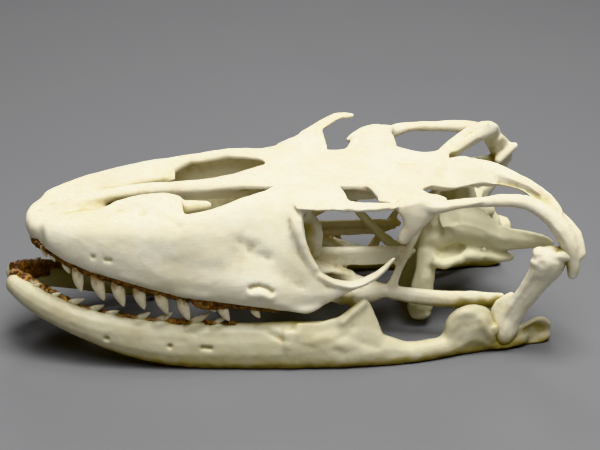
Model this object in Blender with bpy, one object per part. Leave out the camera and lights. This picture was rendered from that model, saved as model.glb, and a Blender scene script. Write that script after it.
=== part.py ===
"""Skull and lower jaw of an adult komodo dragon, life size, every bone a closed solid of its own.

The skull lies on a table on its lower jaw with the mouth a little open. +X is the animal's left,
-Y its snout and +Z up. The shapes below are given in millimetres and are built in metres.
"""
import math

import bpy
import bmesh
import numpy as np

# Units and the gaps between neighbouring bones
MM = 0.001
SUTURE_GAP = 0.3
MIDLINE_GAP = 0.15

# Driving sizes of the skull, in millimetres
SNOUT_TIP_Y = -99.0
JAW_TIP_Y = -105.5
NARIS_FRONT_Y = -41.0
NARIS_REAR_Y = -4.0
BONE_WALL = 3.0
TOOTH_WIDTH = 4.4
TABLE_FLAT = 0.35
KEPT_TRIANGLES = 0.55

# Margin of the upper jaw that carries the teeth, seen from front to back: Y, X, Z
LIP = [
    (-95.0, 11.5, 49.6),
    (-86.0, 19.4, 45.2),
    (-76.0, 24.2, 41.6),
    (-62.0, 28.2, 37.6),
    (-43.0, 31.8, 31.8),
    (-24.0, 34.0, 28.4),
    (-6.0, 35.0, 24.6),
    (5.0, 35.3, 22.4),
    (12.0, 35.3, 26.0),
    (24.0, 35.0, 31.5),
]

# Side wall of the upper jaw: Y, then X and Z of its top edge, its crest, its flank and its bulge
CHEEK = [
    (-92.0, (6.5, 56.8), (13.4, 58.2), (16.2, 55.5), (16.8, 51.5)),
    (-84.0, (6.2, 57.8), (16.8, 59.6), (20.8, 56.6), (21.8, 49.0)),
    (-75.0, (6.2, 58.8), (19.6, 61.0), (24.4, 57.4), (25.6, 47.0)),
    (-63.0, (15.0, 61.6), (22.4, 62.6), (27.6, 58.4), (29.4, 45.2)),
    (-52.0, (20.5, 63.2), (26.0, 63.2), (30.4, 58.0), (32.4, 42.5)),
    (-41.0, (24.6, 61.6), (28.6, 63.2), (32.2, 57.6), (34.2, 40.5)),
    (-30.0, (23.4, 62.4), (27.6, 64.8), (31.8, 58.2), (35.4, 38.6)),
    (-18.0, (20.4, 65.4), (25.0, 67.0), (29.8, 60.6), (36.2, 37.0)),
    (-7.0, (15.4, 66.4), (22.4, 67.4), (28.8, 60.4), (36.6, 34.8)),
    (0.0, (28.4, 60.5), (30.4, 57.6), (32.2, 51.0), (36.6, 32.5)),
    (5.0, (32.6, 46.5), (33.8, 45.0), (34.6, 41.5), (36.4, 31.0)),
    (12.0, (33.0, 37.0), (34.4, 36.2), (35.0, 34.0), (36.2, 30.6)),
    (24.0, (33.6, 35.2), (34.6, 35.0), (35.2, 34.2), (35.4, 33.0)),
]

# Upper teeth behind the snout tip: Y of the root and length of the crown
UPPER_TEETH = [
    (-92.0, 3.6),
    (-88.5, 3.8),
    (-84.5, 4.4),
    (-79.8, 7.6),
    (-72.8, 10.2),
    (-65.4, 9.4),
    (-57.8, 8.8),
    (-50.3, 9.0),
    (-42.4, 8.8),
    (-32.4, 4.4),
    (-27.6, 7.4),
    (-15.8, 4.0),
]

# Lower teeth: Y of the root and length of the crown
LOWER_TEETH = [
    (-98.0, 3.5),
    (-92.5, 5.0),
    (-86.0, 7.0),
    (-76.5, 6.0),
    (-71.0, 6.0),
    (-59.5, 6.0),
    (-51.5, 7.0),
    (-38.5, 7.6),
    (-30.0, 5.0),
]

# Lower jaw from tip to rear: Y, X of its middle, lowest Z, highest Z, half thickness, lean
RAMUS = [
    (-105.0, 4.2, 25.6, 33.0, 3.4, 0.0),
    (-100.0, 9.0, 21.6, 31.4, 4.2, 0.0),
    (-92.0, 14.2, 17.2, 28.0, 4.4, 0.0),
    (-82.0, 19.0, 12.6, 24.4, 4.4, 0.0),
    (-70.0, 22.8, 7.6, 21.8, 4.4, 2.0),
    (-56.0, 26.0, 3.0, 19.6, 4.4, 5.0),
    (-40.0, 28.8, 0.2, 18.2, 4.4, 9.0),
    (-18.0, 32.4, -0.4, 18.0, 4.4, 12.0),
    (0.0, 35.2, -0.4, 18.6, 4.4, 15.0),
    (18.0, 37.4, -0.4, 17.6, 4.3, 17.0),
    (32.0, 38.8, -0.4, 12.6, 3.9, 17.0),
    (42.0, 39.2, -0.4, 8.2, 3.5, 16.0),
    (52.0, 38.6, -0.2, 8.0, 3.4, 12.0),
    (58.6, 37.4, 0.0, 8.6, 3.8, 8.0),
    (62.6, 36.6, 0.2, 13.6, 4.2, 5.0),
    (65.4, 36.2, 0.2, 18.6, 4.6, 3.0),
    (68.0, 35.8, 0.2, 20.4, 4.8, 2.0),
    (71.0, 35.6, 0.2, 19.6, 4.8, 0.0),
    (74.5, 35.2, 0.2, 14.4, 4.6, 0.0),
    (78.5, 35.0, 0.2, 6.8, 4.4, 0.0),
]

# Bones that lie across the midline and so have no twin
MIDLINE_BONES = ("premaxilla", "nasal", "frontal", "parietal", "braincase", "rostrum", "vomer")

BONE_COLOUR = (0.86, 0.83, 0.72, 1.0)
JAW_COLOUR = (0.82, 0.80, 0.70, 1.0)
DEEP_COLOUR = (0.62, 0.58, 0.36, 1.0)
BONE_ROUGHNESS = 0.55


def clear_scene():
    """Empty the scene before the skull is built."""
    for old in list(bpy.data.objects):
        bpy.data.objects.remove(old, do_unlink=True)


def bone_material(name, colour):
    """A matt, non-metallic bone finish of its own for one bone."""
    material = bpy.data.materials.new(name)
    material.use_nodes = True
    shader = material.node_tree.nodes["Principled BSDF"]
    shader.inputs["Base Color"].default_value = colour
    shader.inputs["Roughness"].default_value = BONE_ROUGHNESS
    shader.inputs["Metallic"].default_value = 0.0
    material.diffuse_color = colour
    return material


def spline(points, steps):
    """Points on a smooth curve through the given ones, with `steps` spans between each pair."""
    given = np.array(points, dtype=float)
    if steps <= 1:
        return given
    ends = np.vstack([2 * given[0] - given[1], given, 2 * given[-1] - given[-2]])
    out = []
    for i in range(1, len(ends) - 2):
        a, b, c, d = ends[i - 1:i + 3]
        for k in range(steps):
            t = k / steps
            bend = (2 * a - 5 * b + 4 * c - d) * t * t + (3 * b - a - 3 * c + d) * t ** 3
            out.append(0.5 * (2 * b + (c - a) * t + bend))
    out.append(given[-1])
    return np.array(out)


def along(table, y, column):
    """Value of one column of a table of rows that start with Y, at a given Y."""
    return float(np.interp(y, [row[0] for row in table], [row[column] for row in table]))


def outward(points, faces):
    """The same closed shape with its faces turned outwards."""
    volume = 0.0
    for face in faces:
        for i in range(1, len(face) - 1):
            a, b, c = points[face[0]], points[face[i]], points[face[i + 1]]
            volume += np.dot(a, np.cross(b, c))
    if volume < 0:
        faces = [face[::-1] for face in faces]
    return [tuple(p) for p in points], faces


def tube_of_rings(rings):
    """A closed shape skinned over rings of points, domed shut at both ends."""
    sides = len(rings[0])
    points = [np.array(p) for ring in rings for p in ring]
    faces = []
    for r in range(len(rings) - 1):
        for s in range(sides):
            t = (s + 1) % sides
            faces.append([r * sides + s, r * sides + t, (r + 1) * sides + t])
            faces.append([r * sides + s, (r + 1) * sides + t, (r + 1) * sides + s])
    for ring_index, turn in ((0, -1), (len(rings) - 1, 1)):
        pole = len(points)
        points.append(np.mean(rings[ring_index], axis=0))
        start = ring_index * sides
        for s in range(sides):
            corner = [start + s, start + (s + 1) % sides, pole]
            faces.append(corner[::turn])
    return outward(points, faces)


def bar(stations, sides=8, steps=2, up=(0.0, 0.0, 1.0), blunt=0.6):
    """A bone bar along stations of X, Y, Z, half width and half height, rounded at its ends.

    The height lies as near to `up` as the bar's course allows. A sixth value rolls the section.
    """
    rows = [tuple(s) + (0.0,) * (6 - len(s)) for s in stations]
    path = spline(rows, steps)
    reference = np.array(up, dtype=float)
    course = np.gradient(path[:, :3], axis=0)
    rings = []

    def ring(centre, tangent, half_width, half_height, roll):
        tangent = tangent / np.linalg.norm(tangent)
        across = np.cross(tangent, reference)
        across = across / np.linalg.norm(across)
        over = np.cross(across, tangent)
        lean = math.radians(roll)
        wide = across * math.cos(lean) + over * math.sin(lean)
        high = over * math.cos(lean) - across * math.sin(lean)
        turns = [2 * math.pi * (k + 0.5) / sides for k in range(sides)]
        return [centre + wide * half_width * math.cos(a) + high * half_height * math.sin(a)
                for a in turns]

    for index, (row, tangent) in enumerate(zip(path, course)):
        centre, half_width, half_height, roll = row[:3], row[3], row[4], row[5]
        unit = tangent / np.linalg.norm(tangent)
        overhang = min(half_width, half_height) * blunt
        if index == 0:
            rings.append(ring(centre - unit * overhang, tangent, half_width * 0.55,
                              half_height * 0.55, roll))
        rings.append(ring(centre, tangent, half_width, half_height, roll))
        if index == len(path) - 1:
            rings.append(ring(centre + unit * overhang, tangent, half_width * 0.55,
                              half_height * 0.55, roll))
    return tube_of_rings(rings)


def plate(rows, thickness, across=2, steps=2, side=1.0, rim=0.55):
    """A curved bone plate: rows of outer points, thickened towards its inner side.

    `side` says which way is inward, and the plate thins to `rim` of its thickness at its edges.
    """
    grid = np.array([spline(row, across) for row in rows])
    grid = np.array([spline(grid[:, k], steps) for k in range(grid.shape[1])]).transpose(1, 0, 2)
    down = np.gradient(grid, axis=0)
    over = np.gradient(grid, axis=1)
    normal = np.cross(down, over)
    normal /= np.linalg.norm(normal, axis=2, keepdims=True)
    n_rows, n_cols = grid.shape[:2]
    depth = np.full((n_rows, n_cols, 1), float(thickness))
    depth[0] *= rim
    depth[-1] *= rim
    depth[:, 0] *= rim
    depth[:, -1] *= rim
    inner = grid + normal * depth * side
    points = [p for p in grid.reshape(-1, 3)] + [p for p in inner.reshape(-1, 3)]
    layer = n_rows * n_cols
    faces = []
    for r in range(n_rows - 1):
        for c in range(n_cols - 1):
            a = r * n_cols + c
            b, d, e = a + 1, a + n_cols, a + n_cols + 1
            faces += [[a, b, e], [a, e, d]]
            faces += [[layer + a, layer + e, layer + b], [layer + a, layer + d, layer + e]]
    border = [r * n_cols for r in range(n_rows)]
    border += [(n_rows - 1) * n_cols + c for c in range(1, n_cols)]
    border += [r * n_cols + n_cols - 1 for r in range(n_rows - 2, -1, -1)]
    border += [c for c in range(n_cols - 2, 0, -1)]
    for i, a in enumerate(border):
        b = border[(i + 1) % len(border)]
        faces += [[a, b, layer + b], [a, layer + b, layer + a]]
    return outward(points, faces)


def arch_sections(rows, sides=12):
    """A closed midline body lofted along Y from rows of Y, half width, lowest Z and highest Z."""
    rings = []
    for y, half_width, low, high in rows:
        middle, half = (low + high) / 2, (high - low) / 2
        turns = [2 * math.pi * k / sides for k in range(sides)]
        rings.append([np.array((half_width * math.cos(a), y, middle + half * math.sin(a)))
                      for a in turns])
    return tube_of_rings(rings)


def roof_rows(rows):
    """Rows across the whole roof from rows of Y and the X, Z of points of its left half."""
    return [[(-x, y, z) for x, z in half[:0:-1]] + [(x, y, z) for x, z in half]
            for y, half in rows]


def mirrored(shape):
    """The same shape on the other side of the skull."""
    points, faces = shape
    return [(-x, y, z) for x, y, z in points], [face[::-1] for face in faces]


def tooth(root, tip, width, bow, sides=6):
    """A flattened, recurved crown from its sunk root to its point, bowed forwards in its middle."""
    root = np.array(root, dtype=float)
    tip = np.array(tip, dtype=float)
    start = root - (tip - root) * 0.3
    rings = []
    for t, part in ((0.0, 1.0), (0.5, 0.96), (0.8, 0.6), (1.0, 0.1)):
        centre = start + (tip - start) * t + np.array((0.0, -bow, 0.0)) * math.sin(math.pi * t)
        turns = [2 * math.pi * k / sides for k in range(sides)]
        across = np.cross(tip - start, (0.0, 1.0, 0.0))
        across = across / np.linalg.norm(across)
        edge = np.cross(across, tip - start)
        edge = edge / np.linalg.norm(edge)
        rings.append([centre + across * math.cos(a) * width * 0.31 * part
                      + edge * math.sin(a) * width * 0.5 * part for a in turns])
    return tube_of_rings(rings)


def mesh_object(name, shape):
    """An object, in metres, of a shape given in millimetres."""
    points, faces = shape
    mesh = bpy.data.meshes.new(name)
    mesh.from_pydata([(x * MM, y * MM, z * MM) for x, y, z in points], [], faces)
    mesh.update()
    thing = bpy.data.objects.new(name, mesh)
    bpy.context.scene.collection.objects.link(thing)
    return thing


def boolean(base, others, operation):
    """Join the others to the base, or cut them from it, and remove them."""
    if not others:
        return
    group = bpy.data.collections.new("operands")
    bpy.context.scene.collection.children.link(group)
    for other in others:
        for home in list(other.users_collection):
            home.objects.unlink(other)
        group.objects.link(other)
    step = base.modifiers.new("joined", "BOOLEAN")
    step.operation = operation
    step.operand_type = "COLLECTION"
    step.collection = group
    step.solver = "MANIFOLD"
    graph = bpy.context.evaluated_depsgraph_get()
    result = bpy.data.meshes.new_from_object(base.evaluated_get(graph))
    base.modifiers.clear()
    base.data = result
    for other in others:
        bpy.data.objects.remove(other, do_unlink=True)
    bpy.data.collections.remove(group)


def closed_triangles(mesh):
    """The triangles of a mesh without slivers, and with every edge between two triangles."""
    for sliver in (0.00002, 0.000005, 0.000001, 0.0):
        body = bmesh.new()
        body.from_mesh(mesh)
        bmesh.ops.triangulate(body, faces=body.faces[:])
        bmesh.ops.dissolve_degenerate(body, dist=sliver, edges=body.edges[:])
        bmesh.ops.triangulate(body, faces=body.faces[:])
        if all(len(edge.link_faces) == 2 for edge in body.edges):
            return body
        body.free()
    raise RuntimeError("the surface isn't closed: " + mesh.name)


def keep_largest(thing):
    """Keep only the largest closed surface of an object, as triangles."""
    body = closed_triangles(thing.data)
    body.verts.ensure_lookup_table()
    seen = set()
    islands = []
    for first in body.verts:
        if first.index in seen:
            continue
        seen.add(first.index)
        stack = [first]
        island = []
        while stack:
            corner = stack.pop()
            island.append(corner)
            for edge in corner.link_edges:
                other = edge.other_vert(corner)
                if other.index not in seen:
                    seen.add(other.index)
                    stack.append(other)
        islands.append(island)
    islands.sort(key=len)
    for island in islands[:-1]:
        bmesh.ops.delete(body, geom=island, context="VERTS")
    body.to_mesh(thing.data)
    body.free()


def thin_out(thing, share):
    """Take out the triangles that a bone's shape needs least, down to a share of them."""
    step = thing.modifiers.new("fewer", "DECIMATE")
    step.ratio = share
    graph = bpy.context.evaluated_depsgraph_get()
    result = bpy.data.meshes.new_from_object(thing.evaluated_get(graph))
    thing.modifiers.clear()
    thing.data = result


def grown_copy(thing, margin):
    """A copy of a bone, swollen by a margin on all sides, to cut its neighbours clear of it."""
    mesh = thing.data.copy()
    mesh.update()
    moves = [v.co + v.normal * (margin * MM) for v in mesh.vertices]
    for vertex, place in zip(mesh.vertices, moves):
        vertex.co = place
    copy = bpy.data.objects.new("margin", mesh)
    bpy.context.scene.collection.objects.link(copy)
    return copy


def reach(thing):
    """Lowest and highest corner of an object."""
    corners = np.array([v.co for v in thing.data.vertices])
    return corners.min(axis=0), corners.max(axis=0)


def near(one, two, margin):
    """Whether the boxes of two bones come within a margin of each other."""
    low_one, high_one = reach(one)
    low_two, high_two = reach(two)
    room = margin * MM
    return bool(np.all(low_one - room < high_two) and np.all(low_two - room < high_one))


bones = {}


def bone(name, shapes, colour=BONE_COLOUR):
    """Fuse shapes into one bone, cut clear of the bones made before it."""
    parts = [mesh_object(name + "_part", shape) for shape in shapes]
    base = parts[0]
    boolean(base, parts[1:], "UNION")
    keep_largest(base)
    thin_out(base, KEPT_TRIANGLES)
    close = [other for other in bones.values() if near(base, other, SUTURE_GAP)]
    boolean(base, [grown_copy(other, SUTURE_GAP) for other in close], "DIFFERENCE")
    keep_largest(base)
    base.name = name
    base.data.name = name
    base.data.materials.clear()
    base.data.materials.append(bone_material(name + "_bone", colour))
    bones[name] = base
    return base


def pair(name, colour=BONE_COLOUR):
    """Give a left bone its twin on the right, cut clear of the midline bones as well."""
    left = bones[name + "_l"]
    mesh = left.data.copy()
    body = bmesh.new()
    body.from_mesh(mesh)
    for vertex in body.verts:
        vertex.co.x = -vertex.co.x
    bmesh.ops.reverse_faces(body, faces=body.faces[:])
    body.to_mesh(mesh)
    body.free()
    right = bpy.data.objects.new(name + "_r", mesh)
    bpy.context.scene.collection.objects.link(right)
    close = [bones[other] for other in MIDLINE_BONES if near(right, bones[other], SUTURE_GAP)]
    boolean(right, [grown_copy(other, SUTURE_GAP) for other in close], "DIFFERENCE")
    keep_largest(right)
    right.data.name = name + "_r"
    right.data.materials.clear()
    right.data.materials.append(bone_material(name + "_r_bone", colour))
    bones[name + "_r"] = right


def upper_tooth(y, length):
    """One tooth of the left upper jaw, pointing down, back and slightly out."""
    x, z = along(LIP, y, 1), along(LIP, y, 2)
    root = (x - 2.6, y, z + 0.4)
    tip = (x - 2.2, y + length * 0.24, z + 0.4 - length)
    return tooth(root, tip, min(TOOTH_WIDTH, length * 0.62), length * 0.06)


def premaxilla():
    """Blunt snout tip with its long process that runs back between the nostrils."""
    half = [(0.0, SNOUT_TIP_Y + 4.2, 53.0, 4.2, 4.8), (6.0, -93.6, 53.0, 4.2, 4.8),
            (11.0, -89.6, 53.2, 4.2, 4.6), (14.0, -84.5, 53.4, 3.4, 4.0)]
    front = bar([(-x, y, z, w, h) for x, y, z, w, h in half[:0:-1]] + half)
    process = bar([(0.0, -94.5, 54.6, 6.5, 2.6), (0.0, -86.0, 57.0, 5.0, 2.4),
                   (0.0, -76.0, 59.4, 4.0, 2.4), (0.0, -62.0, 61.8, 3.4, 2.6),
                   (0.0, -46.0, 62.6, 3.0, 2.8)])
    shelf = arch_sections([(-95.0, 5.0, 48.5, 55.0), (-90.0, 9.0, 49.0, 56.8),
                           (-80.0, 12.0, 50.0, 57.2), (-68.0, 8.0, 52.0, 58.0)], sides=10)
    teeth = []
    for x, y in ((2.4, -97.4), (6.4, -95.4), (9.8, -92.6)):
        for turn in (1, -1):
            teeth.append(tooth((turn * x, y, 49.0), (turn * x * 0.95, y + 1.2, 44.8), 2.2, 0.2))
    bone("premaxilla", [front, process, shelf] + teeth)


def nasal():
    """Fused nasals: a slim bar between the nostrils that widens back onto the forehead."""
    neck = bar([(0.0, -47.0, 62.4, 2.8, 2.6), (0.0, -34.0, 62.2, 3.2, 2.6),
                (0.0, -25.0, 62.6, 4.4, 2.4), (0.0, -18.0, 63.2, 6.4, 2.3),
                (0.0, -11.0, 64.0, 9.0, 2.2), (0.0, NARIS_REAR_Y, 64.6, 11.8, 2.2),
                (0.0, 5.0, 64.8, 13.4, 2.0)], sides=10)
    keel = bar([(0.0, -40.0, 59.6, 1.6, 2.2), (0.0, -24.0, 59.2, 2.6, 2.6),
                (0.0, -8.0, 60.0, 4.0, 3.0)], sides=6)
    bone("nasal", [neck, keel])


def frontal():
    """Roof between the eyes, with the low crests under it that frame the smell tract."""
    rows = roof_rows([(2.0, [(0.0, 65.2), (6.0, 65.6), (11.5, 66.2)]),
                      (9.0, [(0.0, 65.6), (8.0, 66.2), (15.5, 67.2)]),
                      (17.0, [(0.0, 65.9), (9.0, 66.6), (17.4, 67.6)]),
                      (26.0, [(0.0, 66.1), (9.0, 66.6), (17.2, 67.2)]),
                      (34.0, [(0.0, 66.3), (10.0, 66.6), (20.0, 66.4)]),
                      (41.0, [(0.0, 66.4), (12.0, 66.6), (24.0, 65.8)])])
    keel = bar([(7.5, 6.0, 60.0, 2.0, 3.0), (7.5, 20.0, 58.8, 2.0, 3.5),
                (7.5, 36.0, 58.8, 2.0, 3.5)], sides=6)
    bone("frontal", [plate(rows, 5.0, across=1, steps=1), keel, mirrored(keel)])


def parietal():
    """Rear roof: a table that narrows to a waist between the temples."""
    rows = roof_rows([(39.0, [(0.0, 66.4), (12.0, 66.6), (24.0, 65.6)]),
                      (46.0, [(0.0, 66.4), (12.0, 66.8), (26.5, 65.2)]),
                      (52.0, [(0.0, 66.4), (9.0, 67.0), (20.0, 64.8)]),
                      (57.0, [(0.0, 66.6), (8.0, 67.4), (15.5, 63.4)]),
                      (62.0, [(0.0, 67.0), (5.8, 68.0), (14.6, 61.4)]),
                      (67.0, [(0.0, 68.0), (3.4, 69.2), (14.4, 61.0)])])
    bone("parietal", [plate(rows, 6.0, across=1, steps=1)])


def parietal_arm():
    """Broad blade that slopes off the rear roof and twists out and down to the cheek."""
    rows = [
        [(2.4, 65.6, 69.0), (8.6, 65.6, 66.0), (14.6, 65.6, 61.0)],
        [(4.0, 69.0, 70.2), (10.4, 69.0, 67.2), (16.0, 69.0, 61.8)],
        [(7.4, 73.4, 71.0), (12.8, 73.0, 68.4), (17.6, 73.5, 63.6)],
        [(13.2, 79.8, 71.0), (18.0, 79.8, 69.0), (21.8, 79.6, 64.8)],
        [(20.2, 85.6, 69.8), (24.2, 85.6, 68.2), (26.6, 85.2, 64.6)],
        [(28.2, 91.0, 68.9), (30.8, 90.0, 67.2), (32.2, 89.4, 63.4)],
        [(37.0, 96.0, 66.2), (37.8, 94.6, 63.8), (38.0, 94.0, 60.2)],
        [(42.4, 99.8, 61.2), (42.2, 98.4, 58.6), (42.2, 98.0, 55.6)],
    ]
    bone("parietal_arm_l", [plate(rows, 4.6, across=1, steps=1)])


def braincase():
    """Braincase under the roof, with the rounded condyle that meets the neck."""
    core = arch_sections([(54.0, 6.0, 27.0, 37.0), (59.0, 9.5, 27.0, 47.0),
                          (66.0, 12.0, 28.0, 52.0), (75.0, 12.5, 29.0, 52.5),
                          (82.0, 11.0, 30.5, 48.0), (88.0, 7.0, 31.5, 42.0)], sides=12)
    crown = bar([(0.0, 72.0, 47.0, 8.5, 8.0), (0.0, 71.0, 60.0, 7.0, 5.0)],
                up=(0.0, 1.0, 0.0), steps=1)
    condyle = arch_sections([(84.0, 5.0, 30.5, 40.0), (90.0, 5.0, 31.5, 40.0),
                             (93.5, 3.0, 33.0, 38.5)], sides=10)
    keel = bar([(6.0, 64.0, 28.4, 3.2, 2.6), (8.4, 71.0, 28.4, 3.0, 2.8),
                (9.6, 78.0, 29.4, 2.6, 3.0)], sides=7)
    bone("braincase", [core, crown, condyle, keel, mirrored(keel)])


def ear_wing():
    """Side wall and process of the braincase, which props the head of the quadrate."""
    rows = [
        [(9.5, 60.5, 48.5), (12.6, 61.5, 43.0), (10.5, 63.0, 35.5)],
        [(11.6, 68.0, 51.6), (15.6, 69.0, 44.5), (12.6, 71.0, 35.0)],
        [(12.6, 77.0, 51.0), (17.6, 78.0, 43.5), (15.0, 79.0, 34.4)],
        [(16.0, 84.0, 44.8), (20.2, 84.5, 41.0), (19.0, 84.5, 34.0)],
        [(22.6, 89.5, 44.8), (25.6, 90.0, 42.0), (24.6, 89.8, 37.2)],
        [(30.0, 95.0, 46.4), (31.8, 95.4, 44.0), (31.0, 95.2, 40.2)],
        [(35.4, 98.4, 46.6), (36.6, 98.6, 44.6), (35.8, 98.4, 41.6)],
    ]
    bone("ear_wing_l", [plate(rows, 3.6, across=2, steps=1)])


def braincase_foot():
    """Lower process of the braincase, which comes down beside the pterygoid."""
    bone("braincase_foot_l", [bar([(7.0, 58.0, 30.0, 3.2, 4.6), (10.5, 56.5, 24.0, 2.4, 4.2),
                                   (12.0, 55.0, 16.0, 2.4, 5.0), (12.5, 54.5, 8.0, 2.8, 5.4),
                                   (12.5, 55.0, 4.4, 2.2, 4.0)], up=(0.0, 1.0, 0.0))])


def rostrum():
    """Slim strut that rises from the front of the braincase to the roof between the eyes."""
    bone("rostrum", [bar([(0.0, 53.0, 27.0, 1.8, 3.4), (0.0, 44.0, 32.0, 1.3, 2.2),
                          (0.0, 34.0, 43.0, 1.2, 1.8), (0.0, 26.0, 55.0, 1.3, 2.0),
                          (0.0, 24.0, 63.0, 1.6, 2.4)], sides=6)])


def vomers():
    """Paired slim bones along the middle of the palate."""
    bone("vomer", [bar([(0.0, -84.0, 50.0, 5.0, 1.6), (0.0, -60.0, 45.0, 4.4, 1.8),
                        (0.0, -36.0, 39.0, 5.4, 1.8), (0.0, -16.0, 35.0, 6.6, 1.6)])])


def maxilla():
    """Toothed side of the upper jaw, from the snout tip to under the eye."""
    rows = []
    for y, top, crest, flank, bulge in CHEEK:
        low = (along(LIP, y, 1), along(LIP, y, 2))
        fold = (low[0] - 2.4, low[1] + 0.6)
        rows.append([(x, y, z) for x, z in (top, crest, flank, bulge, low, fold)])
    wall = plate(rows, BONE_WALL, across=2, steps=1)
    gum = bar([(along(LIP, y, 1) - 3.0, y, along(LIP, y, 2) + 2.6, 2.4, 2.4)
               for y in (-92.0, -84.0, -74.0, -60.0, -44.0, -26.0, -8.0, 4.0)], sides=6)
    shelf = plate([[(along(LIP, y, 1) - 2.5, y, along(LIP, y, 2) + 3.4),
                    (along(LIP, y, 1) - 6.5, y, along(LIP, y, 2) + 4.6),
                    (inner, y, along(LIP, y, 2) + 5.2)]
                   for y, inner in ((-88.0, 8.0), (-76.0, 11.0), (-60.0, 14.0), (-40.0, 18.0),
                                    (-20.0, 21.0), (0.0, 24.0))], 1.8, across=1, steps=1)
    knob = bar([(34.6, -2.0, 25.8, 1.6, 1.8), (35.0, 4.0, 24.4, 1.8, 2.0),
                (34.8, 9.0, 25.8, 1.4, 1.6)], sides=7)
    teeth = [upper_tooth(y, length) for y, length in UPPER_TEETH]
    bone("maxilla_l", [wall, gum, shelf, knob] + teeth)


def septomaxilla():
    """Domed little bone behind the snout tip that closes the front of the nostril."""
    rows = [
        [(6.4, -73.0, 58.6), (9.0, -73.0, 59.6), (14.0, -73.0, 60.4), (18.6, -73.0, 60.8)],
        [(6.0, -64.0, 60.6), (9.0, -64.0, 62.8), (15.0, -64.0, 63.4), (20.0, -64.0, 62.8)],
        [(6.0, -54.0, 62.2), (9.6, -54.0, 65.0), (17.0, -54.0, 65.6), (23.6, -54.0, 63.8)],
        [(6.8, -46.0, 62.8), (11.0, -46.0, 65.8), (19.0, -46.0, 66.4), (26.0, -46.0, 64.0)],
        [(8.6, NARIS_FRONT_Y + 1, 61.6), (13.0, NARIS_FRONT_Y + 1, 64.8),
         (19.6, NARIS_FRONT_Y + 1, 65.4), (25.6, NARIS_FRONT_Y + 1, 62.6)],
    ]
    bone("septomaxilla_l", [plate(rows, 3.0, across=2, steps=1)])


def prefrontal():
    """Bone between nostril and eye, with the pillar that goes down inside the eye socket."""
    rows = [
        [(18.4, -12.0, 66.0), (20.0, -12.0, 66.6), (21.6, -12.0, 66.8), (23.2, -12.0, 66.0)],
        [(12.4, -4.4, 66.4), (17.8, -4.4, 67.4), (23.5, -4.4, 67.0), (28.2, -4.4, 61.6)],
        [(12.2, 1.0, 66.4), (19.0, 1.0, 67.8), (26.0, 1.0, 66.6), (30.6, 1.0, 60.6)],
        [(14.0, 6.0, 66.8), (21.0, 6.0, 68.2), (27.0, 6.0, 67.0), (30.6, 6.0, 64.6)],
        [(15.8, 12.0, 67.2), (21.5, 12.0, 68.0), (26.0, 12.0, 67.8), (29.0, 12.0, 66.8)],
        [(17.4, 18.0, 67.4), (20.5, 18.0, 67.8), (23.5, 18.0, 67.8), (26.0, 18.0, 67.4)],
    ]
    roof = plate(rows, 2.8, across=1, steps=1)
    pillar = bar([(26.5, 3.4, 64.0, 3.0, 2.4), (25.4, 5.6, 58.0, 2.0, 4.2),
                  (24.0, 7.4, 50.0, 1.6, 5.4), (22.6, 6.6, 40.0, 1.6, 5.0)],
                 up=(0.0, 1.0, 0.0))
    bone("prefrontal_l", [roof, pillar])


def lacrimal():
    """Slim bone with a knob on its top that makes the front rim of the eye socket."""
    bone("lacrimal_l", [bar([(29.4, 1.5, 60.6, 2.6, 2.2), (31.2, 1.4, 56.5, 2.3, 2.5),
                             (32.4, 2.8, 51.0, 1.9, 1.9), (33.0, 5.0, 45.5, 1.8, 1.8),
                             (33.6, 7.6, 40.4, 1.8, 1.8)], up=(0.0, 1.0, 0.0), sides=7)])


def jugal():
    """Lower rim of the eye socket, a slim bar that ends free behind the eye."""
    rim = bar([(33.8, 8.6, 38.4, 1.8, 1.8), (34.4, 14.5, 34.6, 1.7, 1.9),
               (34.7, 22.0, 33.0, 1.6, 2.5), (34.8, 29.0, 35.4, 1.5, 2.1),
               (34.9, 34.0, 39.2, 1.3, 1.4), (35.0, 37.6, 43.6, 0.9, 0.9)],
              up=(1.0, 0.0, 0.0))
    bone("jugal_l", [rim])


def palpebral(name, rows, prong):
    """Flat bone over the eye: a broad plate at the front of the socket and a long prong."""
    bone(name, [plate(rows, 2.4, across=2, steps=1), bar(prong)])


def postorbital():
    """Three-pronged plate behind the eye: to the roof, down the socket and back along the arch."""
    body = bar([(22.0, 46.0, 64.2, 5.4, 2.4), (29.0, 45.5, 65.2, 6.4, 2.4),
                (35.0, 45.0, 65.4, 6.6, 2.6)], up=(0.0, 0.0, 1.0))
    prong = bar([(35.6, 45.0, 67.0, 2.2, 8.0), (36.2, 45.6, 63.0, 2.2, 8.2),
                 (36.3, 44.9, 59.0, 2.0, 5.4), (36.0, 43.9, 56.0, 1.9, 3.8),
                 (35.2, 41.6, 52.4, 1.8, 2.8), (34.8, 40.6, 50.0, 1.6, 2.2)],
                up=(0.0, 1.0, 0.0))
    arch = bar([(34.5, 47.0, 65.0, 3.4, 2.8), (37.4, 52.0, 64.4, 2.4, 2.9),
                (38.6, 58.0, 65.4, 2.1, 2.1), (38.8, 66.0, 66.2, 2.0, 1.6),
                (38.2, 71.0, 66.4, 1.2, 1.2)])
    corner = bar([(27.0, 41.0, 65.0, 3.6, 2.0), (28.4, 36.4, 65.2, 3.0, 1.9),
                  (30.4, 32.8, 65.4, 1.4, 1.4)])
    bone("postorbital_l", [body, prong, arch, corner])


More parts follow.
